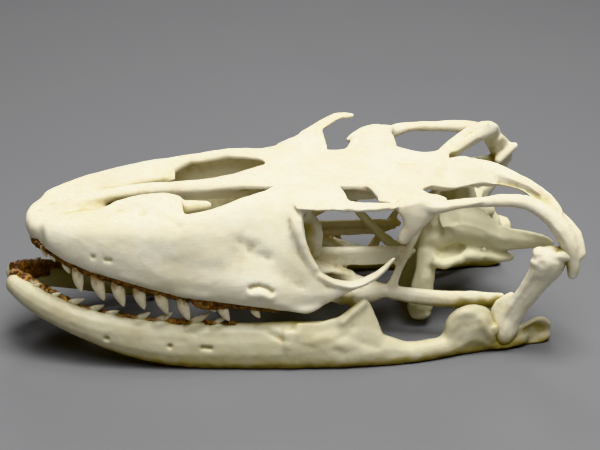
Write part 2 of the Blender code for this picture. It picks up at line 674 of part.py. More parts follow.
def squamosal(name, spur):
    """Rear half of the temple arch, bent down behind to carry the quadrate."""
    arch = bar([(38.6, 60.0, 65.0, 1.2, 1.0), (38.2, 68.0, 65.6, 2.2, 1.6),
                (37.8, 78.0, 65.2, 2.4, 2.2), (38.2, 87.0, 63.8, 2.7, 2.8),
                (40.8, 94.0, 60.2, 3.2, 3.4), (44.0, 99.0, 54.8, 3.6, 3.8),
                (45.6, 102.4, 48.0, 3.4, 3.8), (46.2, 104.0, 41.0, 2.6, 3.0),
                (46.0, 104.4, 35.6, 1.8, 2.2)], up=(1.0, 0.0, 0.0))
    cap = bar([(40.0, 98.5, 57.5, 2.2, 3.4), (44.0, 103.6, 51.0, 2.4, 4.0),
               (46.6, 105.6, 44.0, 2.0, 3.2)], up=(0.0, 1.0, 0.0))
    shapes = [arch, cap]
    if spur:
        shapes.append(bar([(40.0, 100.0, 47.0, 1.9, 1.9), (40.0, 104.0, 50.5, 1.7, 1.7),
                           (40.0, 107.6, 53.6, 1.5, 1.5)], sides=7))
    if name.endswith("_r"):
        shapes = [mirrored(shape) for shape in shapes]
    bone(name, shapes)


def quadrate():
    """Upright bone that hangs from the cheek and carries the lower jaw, hollow on its outside."""
    shaft = bar([(44.0, 94.6, 45.2, 3.2, 5.4), (44.2, 95.0, 42.4, 4.2, 7.2),
                 (43.6, 94.8, 38.6, 3.8, 6.8), (42.2, 92.4, 33.0, 2.9, 5.6),
                 (40.6, 89.4, 26.6, 2.6, 4.9), (38.8, 86.0, 20.0, 2.7, 4.8),
                 (37.6, 83.4, 13.6, 3.1, 4.8), (37.0, 82.2, 8.4, 3.9, 4.9),
                 (36.8, 82.4, 5.2, 3.2, 3.6)], sides=10, up=(0.0, 1.0, 0.0))
    lump = bar([(43.6, 90.6, 45.0, 2.8, 2.6), (44.6, 98.6, 43.0, 2.8, 3.2)], steps=1)
    flange = bar([(36.6, 84.4, 24.4, 1.0, 1.4), (35.4, 80.6, 19.6, 1.5, 2.8),
                  (35.2, 78.8, 14.5, 1.9, 2.6), (35.8, 79.2, 9.6, 2.4, 2.6)],
                 up=(0.0, 1.0, 0.0), sides=7)
    bone("quadrate_l", [shaft, lump, flange])


def palatine():
    """Palate between the tooth row and the pterygoid, with an upright sheet under the eye."""
    rows = [
        [(7.5, -22.0, 37.0), (12.0, -22.0, 38.0), (18.0, -22.0, 38.0)],
        [(8.0, -8.0, 35.0), (15.0, -8.0, 37.0), (23.0, -8.0, 36.0)],
        [(8.0, 6.0, 32.5), (15.0, 6.0, 35.0), (24.0, 6.0, 34.0)],
        [(9.0, 18.0, 29.5), (12.5, 18.0, 30.5), (17.0, 18.0, 30.0)],
        [(11.0, 27.0, 26.5), (13.0, 27.0, 27.0), (15.5, 27.0, 26.5)],
    ]
    floor = plate(rows, 2.4, across=1, steps=1)
    rim = bar([(12.0, 6.0, 36.0, 1.5, 2.2), (12.2, 14.0, 36.6, 1.4, 1.8),
               (12.2, 30.0, 36.0, 1.4, 1.4), (12.4, 44.0, 35.0, 1.3, 1.4),
               (12.6, 51.0, 34.0, 1.0, 1.2)], steps=1)
    sheet = plate([
        [(12.6, 5.0, 34.0), (12.8, 5.0, 36.4)],
        [(13.0, 16.0, 31.0), (13.0, 16.0, 36.6)],
        [(13.0, 30.0, 29.8), (13.0, 30.0, 36.0)],
        [(13.2, 42.0, 29.4), (13.2, 42.0, 35.0)],
        [(13.2, 50.0, 31.0), (13.2, 50.0, 34.0)],
    ], 1.6, across=1, steps=1)
    bone("palatine_l", [floor, rim, sheet], DEEP_COLOUR)


def pterygoid():
    """Long bar from the palate back to the foot of the quadrate, with a flange at its front."""
    beam = bar([(12.0, 16.0, 28.0, 3.0, 1.6), (14.0, 27.0, 24.0, 3.4, 1.8),
                (16.6, 38.0, 19.6, 3.2, 2.4), (18.6, 48.0, 17.6, 2.6, 3.2),
                (22.0, 60.0, 16.6, 2.2, 3.6), (26.0, 72.0, 17.4, 1.9, 3.8),
                (30.5, 83.0, 18.4, 1.6, 3.2)])
    flange = bar([(16.0, 38.0, 19.0, 3.0, 3.0), (20.5, 30.0, 20.0, 2.8, 3.6),
                  (24.5, 23.0, 21.6, 2.2, 3.6)])
    bone("pterygoid_l", [beam, flange])


def ectopterygoid():
    """Short strut from the pterygoid's flange out to the upper jaw."""
    bone("ectopterygoid_l", [bar([(23.0, 26.0, 21.6, 2.0, 3.0), (27.5, 19.5, 24.0, 2.0, 3.0),
                                  (31.6, 14.4, 27.6, 2.2, 2.4)])])


def epipterygoid():
    """Slim rod that stands on the pterygoid and leans on the braincase."""
    bone("epipterygoid_l", [bar([(18.0, 40.5, 20.0, 1.9, 2.3), (16.6, 44.0, 28.0, 1.2, 1.5),
                                 (14.2, 49.5, 38.0, 1.1, 1.4), (12.4, 53.5, 46.0, 1.1, 1.5),
                                 (12.0, 56.0, 52.0, 0.9, 1.2)], up=(0.0, 1.0, 0.0))])


def ramus_bar(y_from, y_to):
    """The stretch of the left half of the lower jaw between two places along its length."""
    stations = []
    for y, x, low, high, half, lean in RAMUS:
        if y_from <= y <= y_to:
            stations.append((x, y, (low + high) / 2, half, (high - low) / 2, lean))
    return bar(stations, sides=12, steps=2)


def dentary():
    """Toothed front of the lower jaw, which ends in a tongue on the outside of the rear half."""
    body = ramus_bar(JAW_TIP_Y, 1.0)
    tongue = bar([(35.8, -4.0, 9.0, 3.8, 8.4), (38.4, 8.0, 9.4, 2.4, 6.0),
                  (40.3, 18.0, 9.2, 1.4, 3.2), (41.2, 25.0, 8.4, 0.6, 1.2)], sides=8)
    teeth = []
    for y, length in LOWER_TEETH:
        x = along(RAMUS, y, 1)
        z = along(RAMUS, y, 3)
        root = (x + 0.6, y, z - 1.0)
        tip = (x + 0.2, y + length * 0.85, z - 1.0 + length * 0.62)
        teeth.append(tooth(root, tip, min(TOOTH_WIDTH, length * 0.55), 0.2))
    bone("dentary_l", [body, tongue] + teeth, JAW_COLOUR)


def coronoid():
    """Blade that rises from the lower jaw just behind the tooth row."""
    rows = [
        [(39.4, 0.0, 12.4), (38.8, 0.0, 16.0), (36.0, 0.0, 19.4)],
        [(40.8, 9.0, 9.8), (39.6, 9.0, 14.4), (35.8, 9.0, 18.8)],
        [(41.8, 17.0, 7.6), (39.8, 17.0, 13.8), (35.2, 17.0, 20.2)],
        [(42.2, 22.0, 7.2), (39.4, 22.0, 14.8), (34.2, 22.0, 23.4)],
        [(42.4, 26.0, 7.3), (38.8, 26.0, 15.8), (33.8, 26.0, 25.6)],
        [(42.6, 29.4, 7.4), (38.8, 29.4, 15.0), (34.4, 29.4, 24.0)],
        [(42.8, 33.4, 7.4), (40.6, 33.4, 10.6), (37.6, 33.4, 14.0)],
    ]
    blade = plate(rows, 3.2, across=1, steps=1, side=-1.0)
    tongue = bar([(37.4, 17.0, 18.2, 1.2, 1.8), (35.0, 22.6, 22.0, 1.6, 2.4),
                  (33.8, 27.0, 25.0, 1.6, 2.0)], up=(1.0, 0.0, 0.0))
    bone("coronoid_l", [blade, tongue], JAW_COLOUR)


def surangular():
    """Rear half of the lower jaw: low under the closing muscle, with a block at the joint."""
    bone("surangular_l", [ramus_bar(-20.0, 79.0)], JAW_COLOUR)


def articular():
    """Rear end of the lower jaw: the joint for the quadrate and the hollowed lever behind it."""
    joint = bar([(34.6, 73.0, 6.0, 4.2, 5.0), (34.8, 79.0, 2.6, 4.6, 2.4),
                 (34.6, 86.0, 3.0, 4.0, 2.6), (34.2, 91.0, 4.0, 3.0, 3.4)])
    rows = [
        [(36.0, 86.0, 1.0), (35.4, 86.0, 3.4), (35.8, 86.0, 5.8)],
        [(35.8, 92.0, 0.9), (34.2, 92.0, 4.4), (35.2, 92.0, 8.4)],
        [(35.8, 97.0, 0.8), (33.4, 97.0, 5.0), (34.6, 97.0, 10.8)],
        [(35.5, 99.8, 1.2), (33.6, 99.8, 5.4), (34.4, 99.8, 10.0)],
        [(35.0, 102.0, 3.4), (33.9, 102.0, 5.4), (34.4, 102.0, 7.8)],
    ]
    lever = plate(rows, 3.6, across=2, steps=2, side=-1.0)
    bone("articular_l", [joint, lever], JAW_COLOUR)


def part_at_midline(name):
    """Trim a left bone so that it stops just short of the skull's midline."""
    slab = ([(x, y, z) for x in (-60.0, MIDLINE_GAP) for y in (-150.0, 150.0)
             for z in (-20.0, 120.0)],
            [[0, 1, 3, 2], [4, 6, 7, 5], [0, 4, 5, 1], [2, 3, 7, 6], [0, 2, 6, 4], [1, 5, 7, 3]])
    cutter = mesh_object("midline", outward([np.array(p) for p in slab[0]], slab[1]))
    boolean(bones[name], [cutter], "DIFFERENCE")
    keep_largest(bones[name])


def level_flats():
    """Level the flats under the lower jaw, on which the skull rests."""
    for thing in bones.values():
        for vertex in thing.data.vertices:
            if vertex.co.z < TABLE_FLAT * MM:
                vertex.co.z = TABLE_FLAT * MM


def resting_point():
    """Middle of the underside of the box round the whole skull, in metres."""
    corners = np.array([v.co for thing in bones.values() for v in thing.data.vertices])
    low, high = corners.min(axis=0), corners.max(axis=0)
    return np.array([(low[0] + high[0]) / 2, (low[1] + high[1]) / 2, low[2]])


def move_to_origin(point):
    """Move the skull so that its resting point lies on the origin."""
    for thing in bones.values():
        for vertex in thing.data.vertices:
            vertex.co.x -= point[0]
            vertex.co.y -= point[1]
            vertex.co.z -= point[2]


def build_skull():
    """Build every bone, midline first, then the left side and its twins on the right."""
    premaxilla()
    nasal()
    frontal()
    parietal()
    braincase()
    rostrum()
    vomers()
    parietal_arm()
    ear_wing()
    braincase_foot()
    jugal()
    lacrimal()
    maxilla()
    septomaxilla()
    prefrontal()
    brow = [(1.0, (27.0, 66.0), (31.0, 64.8)), (8.0, (26.0, 67.4), (36.4, 66.6)),
            (14.0, (24.0, 67.8), (39.8, 68.2)), (20.0, (19.0, 67.6), (40.8, 68.6))]
    palpebral("palpebral_l",
              [[(x, y, z) for x, z in (inner, outer)] for y, inner, outer in brow],
              [(36.0, 17.0, 66.8, 4.4, 1.5), (38.2, 24.0, 67.0, 3.0, 1.6),
               (38.4, 30.0, 66.8, 2.4, 1.6), (36.6, 36.4, 65.8, 1.9, 1.4)])
    postorbital()
    squamosal("squamosal_l", False)
    quadrate()
    palatine()
    pterygoid()
    ectopterygoid()
    epipterygoid()
    dentary()
    part_at_midline("dentary_l")
    coronoid()
    surangular()
    articular()
    for name in ("parietal_arm", "ear_wing", "braincase_foot", "maxilla", "septomaxilla",
                 "prefrontal", "lacrimal", "jugal", "postorbital", "quadrate", "pterygoid",
                 "ectopterygoid", "epipterygoid"):
        pair(name)
    pair("palatine", DEEP_COLOUR)
    for name in ("dentary", "coronoid", "surangular", "articular"):
        pair(name, JAW_COLOUR)
    raised = [(3.0, (-33.0, 64.4), (-27.0, 65.0)), (10.0, (-33.0, 67.2), (-25.0, 66.6)),
              (17.0, (-34.6, 69.2), (-20.5, 67.0)), (22.0, (-36.0, 70.2), (-19.0, 66.8))]
    palpebral("palpebral_r",
              [[(x, y, z) for x, z in (outer, inner)] for y, outer, inner in raised],
              [(-33.0, 15.0, 67.4, 3.4, 1.4), (-37.0, 23.0, 70.0, 2.8, 1.6),
               (-40.8, 30.0, 71.8, 2.4, 1.5), (-43.2, 36.5, 70.8, 1.4, 1.2)])
    squamosal("squamosal_r", True)


clear_scene()
build_skull()
level_flats()
resting = resting_point()
move_to_origin(resting)
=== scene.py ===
"""The looks of a komodo dragon skull: smooth bone, teeth, dried gum, a pale floor and soft light.

The bones are fused from copies of the skull's solids, so they follow these. Places in the tables
are X, Y and Z in millimetres, from the same zero as the skull's drawing, whose resting point on
the table is RESTING. Everything that Blender gets is in metres, with +X the animal's left, -Y its
snout and +Z up. The tables of the quadrates, the jaw, the teeth and the gum give the animal's
left, and its right takes their twins.
"""
import math

import bpy
import numpy as np
from mathutils import Matrix, Vector
from mathutils.bvhtree import BVHTree


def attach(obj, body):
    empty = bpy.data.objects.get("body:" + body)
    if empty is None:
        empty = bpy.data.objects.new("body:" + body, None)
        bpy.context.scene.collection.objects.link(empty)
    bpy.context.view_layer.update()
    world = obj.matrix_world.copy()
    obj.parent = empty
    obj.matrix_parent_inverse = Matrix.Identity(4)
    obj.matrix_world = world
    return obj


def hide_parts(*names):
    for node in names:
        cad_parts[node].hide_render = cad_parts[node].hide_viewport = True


bl_info = {
    "name": "Komodo Dragon Skull",
    "version": (1, 0, 0),
    "blender": (4, 5, 0),
    "location": "3D View > Sidebar > Skull",
    "description": "Builds the bones, teeth and dried gum of a komodo dragon skull",
    "category": "Mesh",
}

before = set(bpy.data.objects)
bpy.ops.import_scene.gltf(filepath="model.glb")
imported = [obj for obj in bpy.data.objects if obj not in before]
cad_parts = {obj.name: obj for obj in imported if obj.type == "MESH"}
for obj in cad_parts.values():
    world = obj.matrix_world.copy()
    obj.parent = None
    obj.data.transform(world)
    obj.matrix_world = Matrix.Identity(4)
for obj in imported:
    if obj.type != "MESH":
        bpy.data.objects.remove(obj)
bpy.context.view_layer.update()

MM = 0.001
RESTING = Vector((0.0, 0.528, 0.35))
BODY = "root"
SIDES = (("l", 1.0), ("r", -1.0))

# The photograph's camera: where it stands in the drawing, its direction and its lens
CAMERA_PLACE = Vector((491.3, -74.7, 283.5))
CAMERA_AZIMUTH = 80.5
CAMERA_ELEVATION = 25.8
LENS = 84.0
SENSOR = 36.0

# Bones that have grown together, or that the eye doesn't part, by the piece that shows them
CRANIUM_BONES = ("premaxilla", "nasal", "frontal", "parietal", "maxilla_l", "maxilla_r",
                 "septomaxilla_l", "septomaxilla_r", "prefrontal_l", "prefrontal_r",
                 "lacrimal_l", "lacrimal_r", "jugal_l", "jugal_r", "palpebral_l", "palpebral_r",
                 "parietal_arm_l", "parietal_arm_r", "postorbital_l", "postorbital_r",
                 "squamosal_l", "squamosal_r")
PALATE_BONES = ("vomer", "palatine_l", "palatine_r", "pterygoid_l", "pterygoid_r",
                "ectopterygoid_l", "ectopterygoid_r", "epipterygoid_l", "epipterygoid_r")
BRAINCASE_BONES = ("braincase", "rostrum", "ear_wing_l", "ear_wing_r", "braincase_foot_l",
                   "braincase_foot_r")
JAW_BONES = ("dentary", "coronoid", "surangular", "articular")

# How far a bone swells to close the seams between the solids, how near corners merge, how high
# the bones stay over the floor, how wide and deep the solids' teeth are cut off, and the grain of
# the gum's first and last surface, in millimetres
SEAM_SWELL = 0.2
WELD = 0.001
FLOOR_GAP = 0.02
CUT_HALF_WIDTH = 60.0
CUT_DEPTH = 30.0
GUM_GRAINS = (0.35, 0.3)

# How many turns of smoothing take the facets away, and the most triangles that a piece may have
SMOOTH_TURNS = 8
MOST_TRIANGLES = 190000

# Where along Y the surfaces of cranium and jaw are made even. It fades in or out between the two
# places, in millimetres.
SNOUT_TIP = (-92.0, -86.0)
FOREHEAD = (-12.0, -4.0)
EYE_FRONT = (-6.0, 2.0)
ROOF_WAIST = (52.0, 60.0)
ROOF_END = (70.0, 78.0)
JAW_BLADE_FRONT = (-4.0, 4.0)
JAW_BLADE_REAR = (34.0, 40.0)

# How deep a place lies in the skull is felt by rays: their number, the turn from each to the next
# in radians, and in millimetres how far they reach, how far off the bone they start, and how near
# they still meet only the bone's own skin. One corner in DEPTH_STEP sends them out.
RAYS = 24
RAY_TURN = 2.39996
RAY_REACH = 30.0
RAY_LIFT = 1.8
OWN_SKIN = 0.3
DEPTH_STEP = 36

# How many rounds a count is spread over the corners between, and how far a corner stands off its
# neighbours where the bone bends sharply, in millimetres
SPREAD_ROUNDS = 32
SHARP_BEND = 0.06

# Edge of the upper lip and of the lower jaw's tooth row: Y, X and Z
LIP = [(-95.0, 11.5, 49.6), (-86.0, 19.4, 45.2), (-76.0, 24.2, 41.6), (-62.0, 28.2, 37.6),
       (-43.0, 31.8, 31.8), (-24.0, 34.0, 28.4), (-6.0, 35.0, 24.6), (5.0, 35.3, 22.4),
       (12.0, 35.3, 26.0)]
JAW_TOP = [(-105.0, 4.2, 33.6), (-100.0, 9.0, 31.8), (-92.0, 14.2, 28.4), (-82.0, 19.0, 24.8),
           (-70.0, 22.8, 22.2), (-54.7, 26.9, 20.0), (-37.1, 29.9, 18.9), (-22.0, 32.4, 18.6)]

# Teeth: X of the crown, Y and Z of its root, Y and Z of its tip, and its width
UPPER_TEETH = [(12.6, -92.4, 48.6, -91.4, 43.2, 2.6), (15.2, -89.2, 47.0, -88.4, 42.4, 2.6),
               (18.4, -84.6, 44.6, -83.2, 38.6, 3.2), (20.8, -80.2, 42.6, -79.6, 31.6, 4.4),
               (23.2, -73.8, 40.6, -71.4, 28.6, 5.0), (25.4, -66.2, 38.4, -64.2, 26.6, 5.0),
               (27.2, -58.6, 36.4, -56.6, 25.6, 4.8), (28.8, -50.8, 34.4, -48.2, 23.8, 4.9),
               (30.2, -42.8, 31.8, -40.2, 21.0, 4.6), (31.4, -32.6, 29.6, -30.0, 24.4, 3.4),
               (31.8, -28.4, 29.0, -25.2, 20.2, 4.2), (32.8, -16.2, 26.4, -13.6, 21.0, 3.2)]
LOWER_TEETH = [(10.6, -97.6, 29.4, -94.4, 31.4, 2.4), (14.0, -91.4, 26.6, -87.0, 28.4, 2.8),
               (17.0, -85.4, 24.8, -78.2, 26.6, 3.4), (20.0, -77.6, 22.8, -71.0, 25.0, 3.2),
               (21.6, -71.6, 21.2, -65.6, 22.8, 3.2), (24.2, -60.4, 19.4, -54.0, 22.4, 3.2),
               (25.8, -53.0, 18.6, -45.8, 22.4, 3.4), (28.0, -40.0, 17.8, -32.2, 22.2, 3.6),
               (29.4, -31.0, 17.6, -26.0, 20.6, 2.6)]

# Marks pressed into the bones: their line, their width and their depth, which is below zero for a
# raised one. Knobs that have grown on them: their line and their thickness at each of its points.
CRANIUM_MARKS = [
    ([(16.6, -63.7, 63.3), (18.3, -59.3, 64.2), (21.2, -55.0, 64.3)], 2.8, 1.5),
    ([(22.6, -56.5, 63.7), (24.6, -51.6, 63.8), (27.4, -47.0, 63.2), (30.6, -42.4, 60.8)], 1.7, 0.6),
    ([(-0.5, -93.0, 57.5), (2.6, -87.3, 58.6), (4.2, -82.1, 58.6), (4.6, -76.0, 59.4),
      (6.6, -68.0, 61.1)], 2.6, 1.0),
    ([(-4.4, -88.0, 58.0), (-5.4, -80.0, 59.0), (-6.6, -70.0, 61.1)], 2.6, 0.8),
    ([(14.6, -81.5, 59.6)], 0.8, 1.2),
    ([(25.8, -74.1, 48.4)], 0.9, 0.6),
    ([(27.3, -69.5, 47.5), (27.8, -68.0, 47.4)], 0.9, 0.6),
    ([(32.3, -20.3, 53.4), (32.5, -17.6, 51.6), (32.6, -14.8, 51.2)], 2.0, 0.5),
    ([(33.2, -16.8, 49.4), (33.5, -13.4, 47.4), (33.7, -10.1, 46.8)], 2.0, 0.5),
    ([(36.2, -17.0, 35.7), (36.4, -13.9, 36.1), (36.5, -11.0, 35.0), (36.5, -9.2, 33.5)], 1.1, 1.0),
    ([(36.0, -16.7, 33.0), (36.3, -12.9, 33.0), (36.4, -10.3, 31.6)], 2.2, -0.9),
    ([(33.6, -20.6, 48.7), (34.3, -9.5, 43.9), (35.9, -0.4, 35.6)], 6.0, 1.0),
    ([(32.0, -48.0, 47.0), (34.0, -34.0, 44.0), (35.0, -22.0, 42.0)], 5.0, 0.5),
    ([(-0.6, 47.0, 66.5), (1.5, 52.1, 66.6)], 1.1, 1.1),
    ([(22.2, 80.5, 65.3), (26.9, 85.7, 65.3), (32.5, 90.7, 64.5), (37.3, 94.2, 63.9)], 2.2, 1.2),
    ([(15.3, 52.0, 65.6), (9.9, 56.8, 66.3), (5.9, 61.8, 68.0)], 2.0, -0.7),
    ([(33.7, 39.0, 66.3), (36.0, 37.0, 66.3), (39.1, 34.9, 66.3)], 0.8, 0.6),
    ([(30.0, -64.0, 40.0), (31.6, -54.0, 37.4)], 2.0, -0.5),
    ([(33.2, -44.0, 34.0), (34.6, -34.0, 32.4)], 2.0, -0.5),
]
CRANIUM_KNOBS = [
    ([(-6.5, 65.5, 67.6), (-11.0, 71.0, 69.4), (-17.5, 78.5, 70.4), (-24.5, 85.5, 69.6),
      (-30.0, 91.0, 68.0)], (1.4, 1.6, 1.5, 1.5, 1.6)),
    ([(-33.0, 89.0, 66.2), (-37.0, 94.0, 65.2), (-40.0, 98.6, 61.6), (-41.0, 100.0, 56.0)],
     (1.8, 1.9, 2.0, 1.6)),
    ([(23.4, 51.6, 62.2), (24.8, 53.2, 62.4), (26.4, 56.2, 62.4), (26.8, 59.4, 62.0)],
     (0.8, 2.0, 2.0, 0.6)),
    ([(15.6, -40.5, 60.4), (15.4, -35.4, 60.6)], (3.2, 3.0)),
    ([(16.2, -35.4, 61.6), (16.1, -32.6, 61.2), (16.0, -30.4, 61.4), (16.0, -29.0, 61.4)],
     (2.6, 1.8, 2.6, 0.9)),
    ([(20.0, 34.0, 66.0), (25.0, 35.0, 65.8), (29.0, 35.4, 65.4), (33.0, 38.0, 65.4)],
     (2.2, 2.2, 2.0, 1.8)),
    ([(22.0, 39.0, 65.6), (30.0, 40.0, 65.4)], (2.4, 2.4)),
    ([(17.5, 31.0, 66.4), (23.0, 33.6, 66.0), (28.0, 34.4, 65.6), (32.0, 36.0, 65.4)],
     (1.6, 2.4, 2.6, 1.6)),
    ([(-17.5, 31.0, 66.4), (-23.0, 34.6, 66.2), (-28.0, 35.4, 65.8)], (1.6, 2.4, 2.4)),
    ([(-31.6, 33.4, 65.4), (-35.0, 37.2, 65.4), (-39.0, 42.0, 65.4), (-41.6, 48.0, 65.4)],
     (0.9, 1.9, 2.3, 1.8)),
    ([(-8.0, -45.6, 61.8), (-14.0, -43.2, 62.8), (-21.4, -37.6, 63.0), (-27.0, -31.0, 62.8),
      (-29.0, -23.0, 62.6)], (1.8, 2.4, 2.3, 1.8, 1.0)),
    ([(-34.0, 48.6, 65.2), (-38.6, 52.4, 65.2), (-41.4, 58.0, 65.0), (-42.6, 64.0, 64.6)],
     (1.4, 2.3, 1.9, 1.0)),
    ([(-20.0, 34.0, 66.0), (-25.0, 36.0, 65.8), (-30.0, 37.4, 65.4)], (2.2, 2.2, 1.8)),
]
JAW_MARKS = [
    ([(38.1, 22.0, 16.6), (39.8, 18.0, 14.0), (40.5, 13.2, 12.2), (40.3, 5.4, 10.5),
      (37.8, -5.3, 13.0), (32.4, -14.1, 17.2)], 1.4, 0.6),
    ([(38.6, 20.3, 20.4), (39.7, 12.4, 17.1), (39.1, 2.9, 15.5)], 3.0, 0.6),
    ([(41.2, 14.1, 9.0), (42.0, 17.5, 6.9)], 1.2, 0.5),
    ([(41.0, 24.6, 11.0), (41.8, 28.3, 9.8), (41.9, 30.3, 8.7)], 1.2, 0.45),
    ([(20.6, -81.0, 21.4), (25.2, -66.0, 18.4), (28.8, -52.0, 16.6), (31.4, -38.0, 15.8)],
     1.4, 0.35),
    ([(26.0, -70.0, 15.6), (29.6, -56.0, 13.6), (32.6, -42.0, 12.8)], 1.4, 0.3),
    ([(26.9, -71.3, 13.8)], 0.9, 1.3),
    ([(31.7, -47.8, 11.0)], 0.9, 1.3),
    ([(33.6, -35.4, 10.3), (34.2, -32.6, 10.1)], 0.9, 1.2),
    ([(35.0, 90.9, 6.9), (34.2, 95.2, 7.6), (33.4, 98.4, 5.8)], 1.8, 1.2),
    ([(39.6, 71.5, 16.2), (39.9, 74.2, 11.6), (39.7, 77.2, 7.2)], 1.6, -0.8),
    ([(40.6, 64.5, 13.0), (40.4, 62.0, 9.0)], 4.0, 0.9),
]
JAW_KNOBS = [
    ([(38.6, 77.0, 12.4), (38.8, 78.4, 9.2)], (1.8, 1.6)),
    ([(37.0, 60.4, 13.0), (37.0, 63.0, 18.6), (37.0, 70.0, 18.0), (37.0, 73.6, 13.0)],
     (1.6, 2.2, 2.2, 1.6)),
    ([(38.2, 60.0, 2.8), (36.8, 69.0, 2.3), (36.0, 78.0, 2.3)], (2.4, 2.0, 2.0)),
]
QUADRATE_MARKS = [
    ([(47.2, 91.4, 42.0)], 1.5, 0.5),
    ([(45.4, 90.5, 34.0), (42.6, 86.0, 25.0), (40.6, 82.5, 16.0)], 2.2, 0.6),
    ([(46.6, 97.0, 47.4)], 1.6, 1.2),
]
QUADRATE_KNOBS = [
    ([(43.4, 91.8, 43.6), (44.2, 95.0, 44.6), (46.2, 100.5, 45.4), (46.8, 103.0, 44.6)],
     (2.8, 3.0, 2.8, 2.2)),
]
BRAINCASE_MARKS = [
    ([(8.1, 65.7, 31.7), (11.4, 68.0, 34.2), (11.6, 73.0, 33.4), (12.6, 78.0, 32.6),
      (15.0, 84.0, 33.0)], 1.5, 1.2),
    ([(7.7, 57.7, 39.3), (10.0, 61.2, 39.2), (13.2, 63.0, 40.4)], 3.0, 1.6),
    ([(15.0, 66.0, 45.6), (17.0, 76.0, 44.0), (24.0, 84.0, 44.5)], 3.2, 1.2),
    ([(20.0, 80.0, 47.6), (30.0, 92.0, 46.0)], 1.8, 0.7),
]
BRAINCASE_KNOBS = [
    ([(12.0, 59.0, 28.6), (13.6, 63.0, 26.8), (12.6, 66.6, 28.2), (14.0, 70.4, 29.4)],
     (2.0, 2.2, 1.6, 2.0)),
    ([(13.0, 71.7, 30.2), (15.0, 75.0, 31.8), (14.0, 78.4, 29.8)], (2.4, 1.8, 2.0)),
    ([(15.0, 80.0, 31.1), (17.6, 84.4, 29.8), (19.0, 89.8, 31.6)], (1.8, 2.2, 1.4)),
    ([(8.0, 75.0, 46.0), (8.5, 80.5, 48.5), (8.0, 83.5, 46.0)], (2.6, 2.8, 2.0)),
    ([(12.0, 52.0, 6.0), (13.0, 55.0, 4.2), (14.0, 57.4, 6.4)], (2.2, 2.4, 1.6)),
    ([(9.0, 56.0, 26.0), (12.4, 55.0, 22.0), (13.0, 54.0, 14.0)], (2.6, 2.2, 1.4)),
]

# Crusts of dried gum inside the upper tooth row, and their thickness
UPPER_CRUSTS = [
    ([(32.2, -38.0, 29.2), (31.4, -31.0, 26.4), (32.0, -24.0, 27.0)], (1.2, 2.2, 1.2)),
    ([(4.0, -95.0, 47.0), (9.0, -92.0, 46.0), (12.0, -86.0, 45.0)], (2.2, 2.6, 1.6)),
    ([(2.6, -90.0, 46.0), (4.0, -80.0, 45.0), (6.0, -70.0, 44.0)], (3.4, 4.0, 2.0)),
]

# The studio: its panels of light with their place, target, size and power, its sky and its floor
PANELS = (
    ("key_panel", (0.16, 0.08, 0.98), (0.0, 0.0, 0.03), 0.45, 12.5),
    ("sky_panel", (0.55, -0.05, 0.88), (0.0, 0.0, 0.03), 0.5, 5.0),
    ("rear_panel", (-0.75, 0.10, 0.70), (0.0, 0.02, 0.04), 0.4, 3.0),
)
SKY_COLOUR = (1.0, 0.95, 0.84, 1.0)
SKY_STRENGTH = 0.06
FLOOR_SIZE = 6.0


# Small helpers on objects and meshes

def deselect_all():
    """Leave edit mode and select nothing."""
    if bpy.context.object and bpy.context.object.mode != "OBJECT":
        bpy.ops.object.mode_set(mode="OBJECT")
    bpy.ops.object.select_all(action="DESELECT")


def pick(*things):
    """Select only these objects, the first of them active."""
    deselect_all()
    for thing in things:
        thing.select_set(True)
    bpy.context.view_layer.objects.active = things[0]


def add_modifier(piece, kind, **settings):
    """Add a modifier to a piece with its settings."""
    pick(piece)
    bpy.ops.object.modifier_add(type=kind)
    step = piece.modifiers[-1]
    for name, value in settings.items():
        setattr(step, name, value)
    return step


def apply_modifier(piece, kind, **settings):
    """Add a modifier to a piece and apply it."""
    step = add_modifier(piece, kind, **settings)
    bpy.ops.object.modifier_apply(modifier=step.name)


def on_whole_mesh(piece, act, **settings):
    """Run an edit mode operator on the whole mesh of a piece."""
    pick(piece)
    bpy.ops.object.mode_set(mode="EDIT")
    bpy.ops.mesh.select_all(action="SELECT")
    act(**settings)
    bpy.ops.object.mode_set(mode="OBJECT")


def merge_corners(piece):
    """Merge the corners of a mesh that lie on each other."""
    on_whole_mesh(piece, bpy.ops.mesh.remove_doubles, threshold=WELD * MM)


def turn_outwards(piece):
    """Turn the faces of a closed mesh outwards."""
    on_whole_mesh(piece, bpy.ops.mesh.normals_make_consistent, inside=False)


def coordinates(mesh):
    """The corners of a mesh as an array."""
    places = np.empty(len(mesh.vertices) * 3)
    mesh.vertices.foreach_get("co", places)
    return places.reshape(-1, 3)


def set_coordinates(mesh, places):
    """Put the corners of a mesh where an array says."""
    mesh.vertices.foreach_set("co", places.ravel())
    mesh.update()


def directions(mesh):
    """The outward directions at the corners of a mesh as an array."""
    ways = np.empty(len(mesh.vertices) * 3)
    mesh.vertices.foreach_get("normal", ways)
    return ways.reshape(-1, 3)


def edge_ends(mesh):
    """The two corners of each edge as two arrays."""
    ends = np.empty(len(mesh.edges) * 2, dtype=np.int64)
    mesh.edges.foreach_get("vertices", ends)
    return ends[0::2], ends[1::2]


def spread(values, ends, rounds):
    """Even out a value at each corner with its neighbours'."""
    one, two = ends
    size = len(values)
    count = np.bincount(one, minlength=size) + np.bincount(two, minlength=size)
    for _ in range(rounds):
        total = np.bincount(one, values[two], size) + np.bincount(two, values[one], size)
        values = 0.5 * values + 0.5 * total / np.maximum(count, 1)
    return values


def keep_value(mesh, name, values):
    """Store a value at each corner, for the materials to read."""
    store = mesh.attributes.get(name) or mesh.attributes.new(name, "FLOAT", "POINT")
    store.data.foreach_set("value", values.astype(np.float32))


# Bones

def joined(name, things):
    """One object of several, under the name given."""
    pick(*things)
    if len(things) > 1:
        bpy.ops.object.join()
    piece = bpy.context.view_layer.objects.active
    piece.name = name
    piece.data.name = name
    return piece


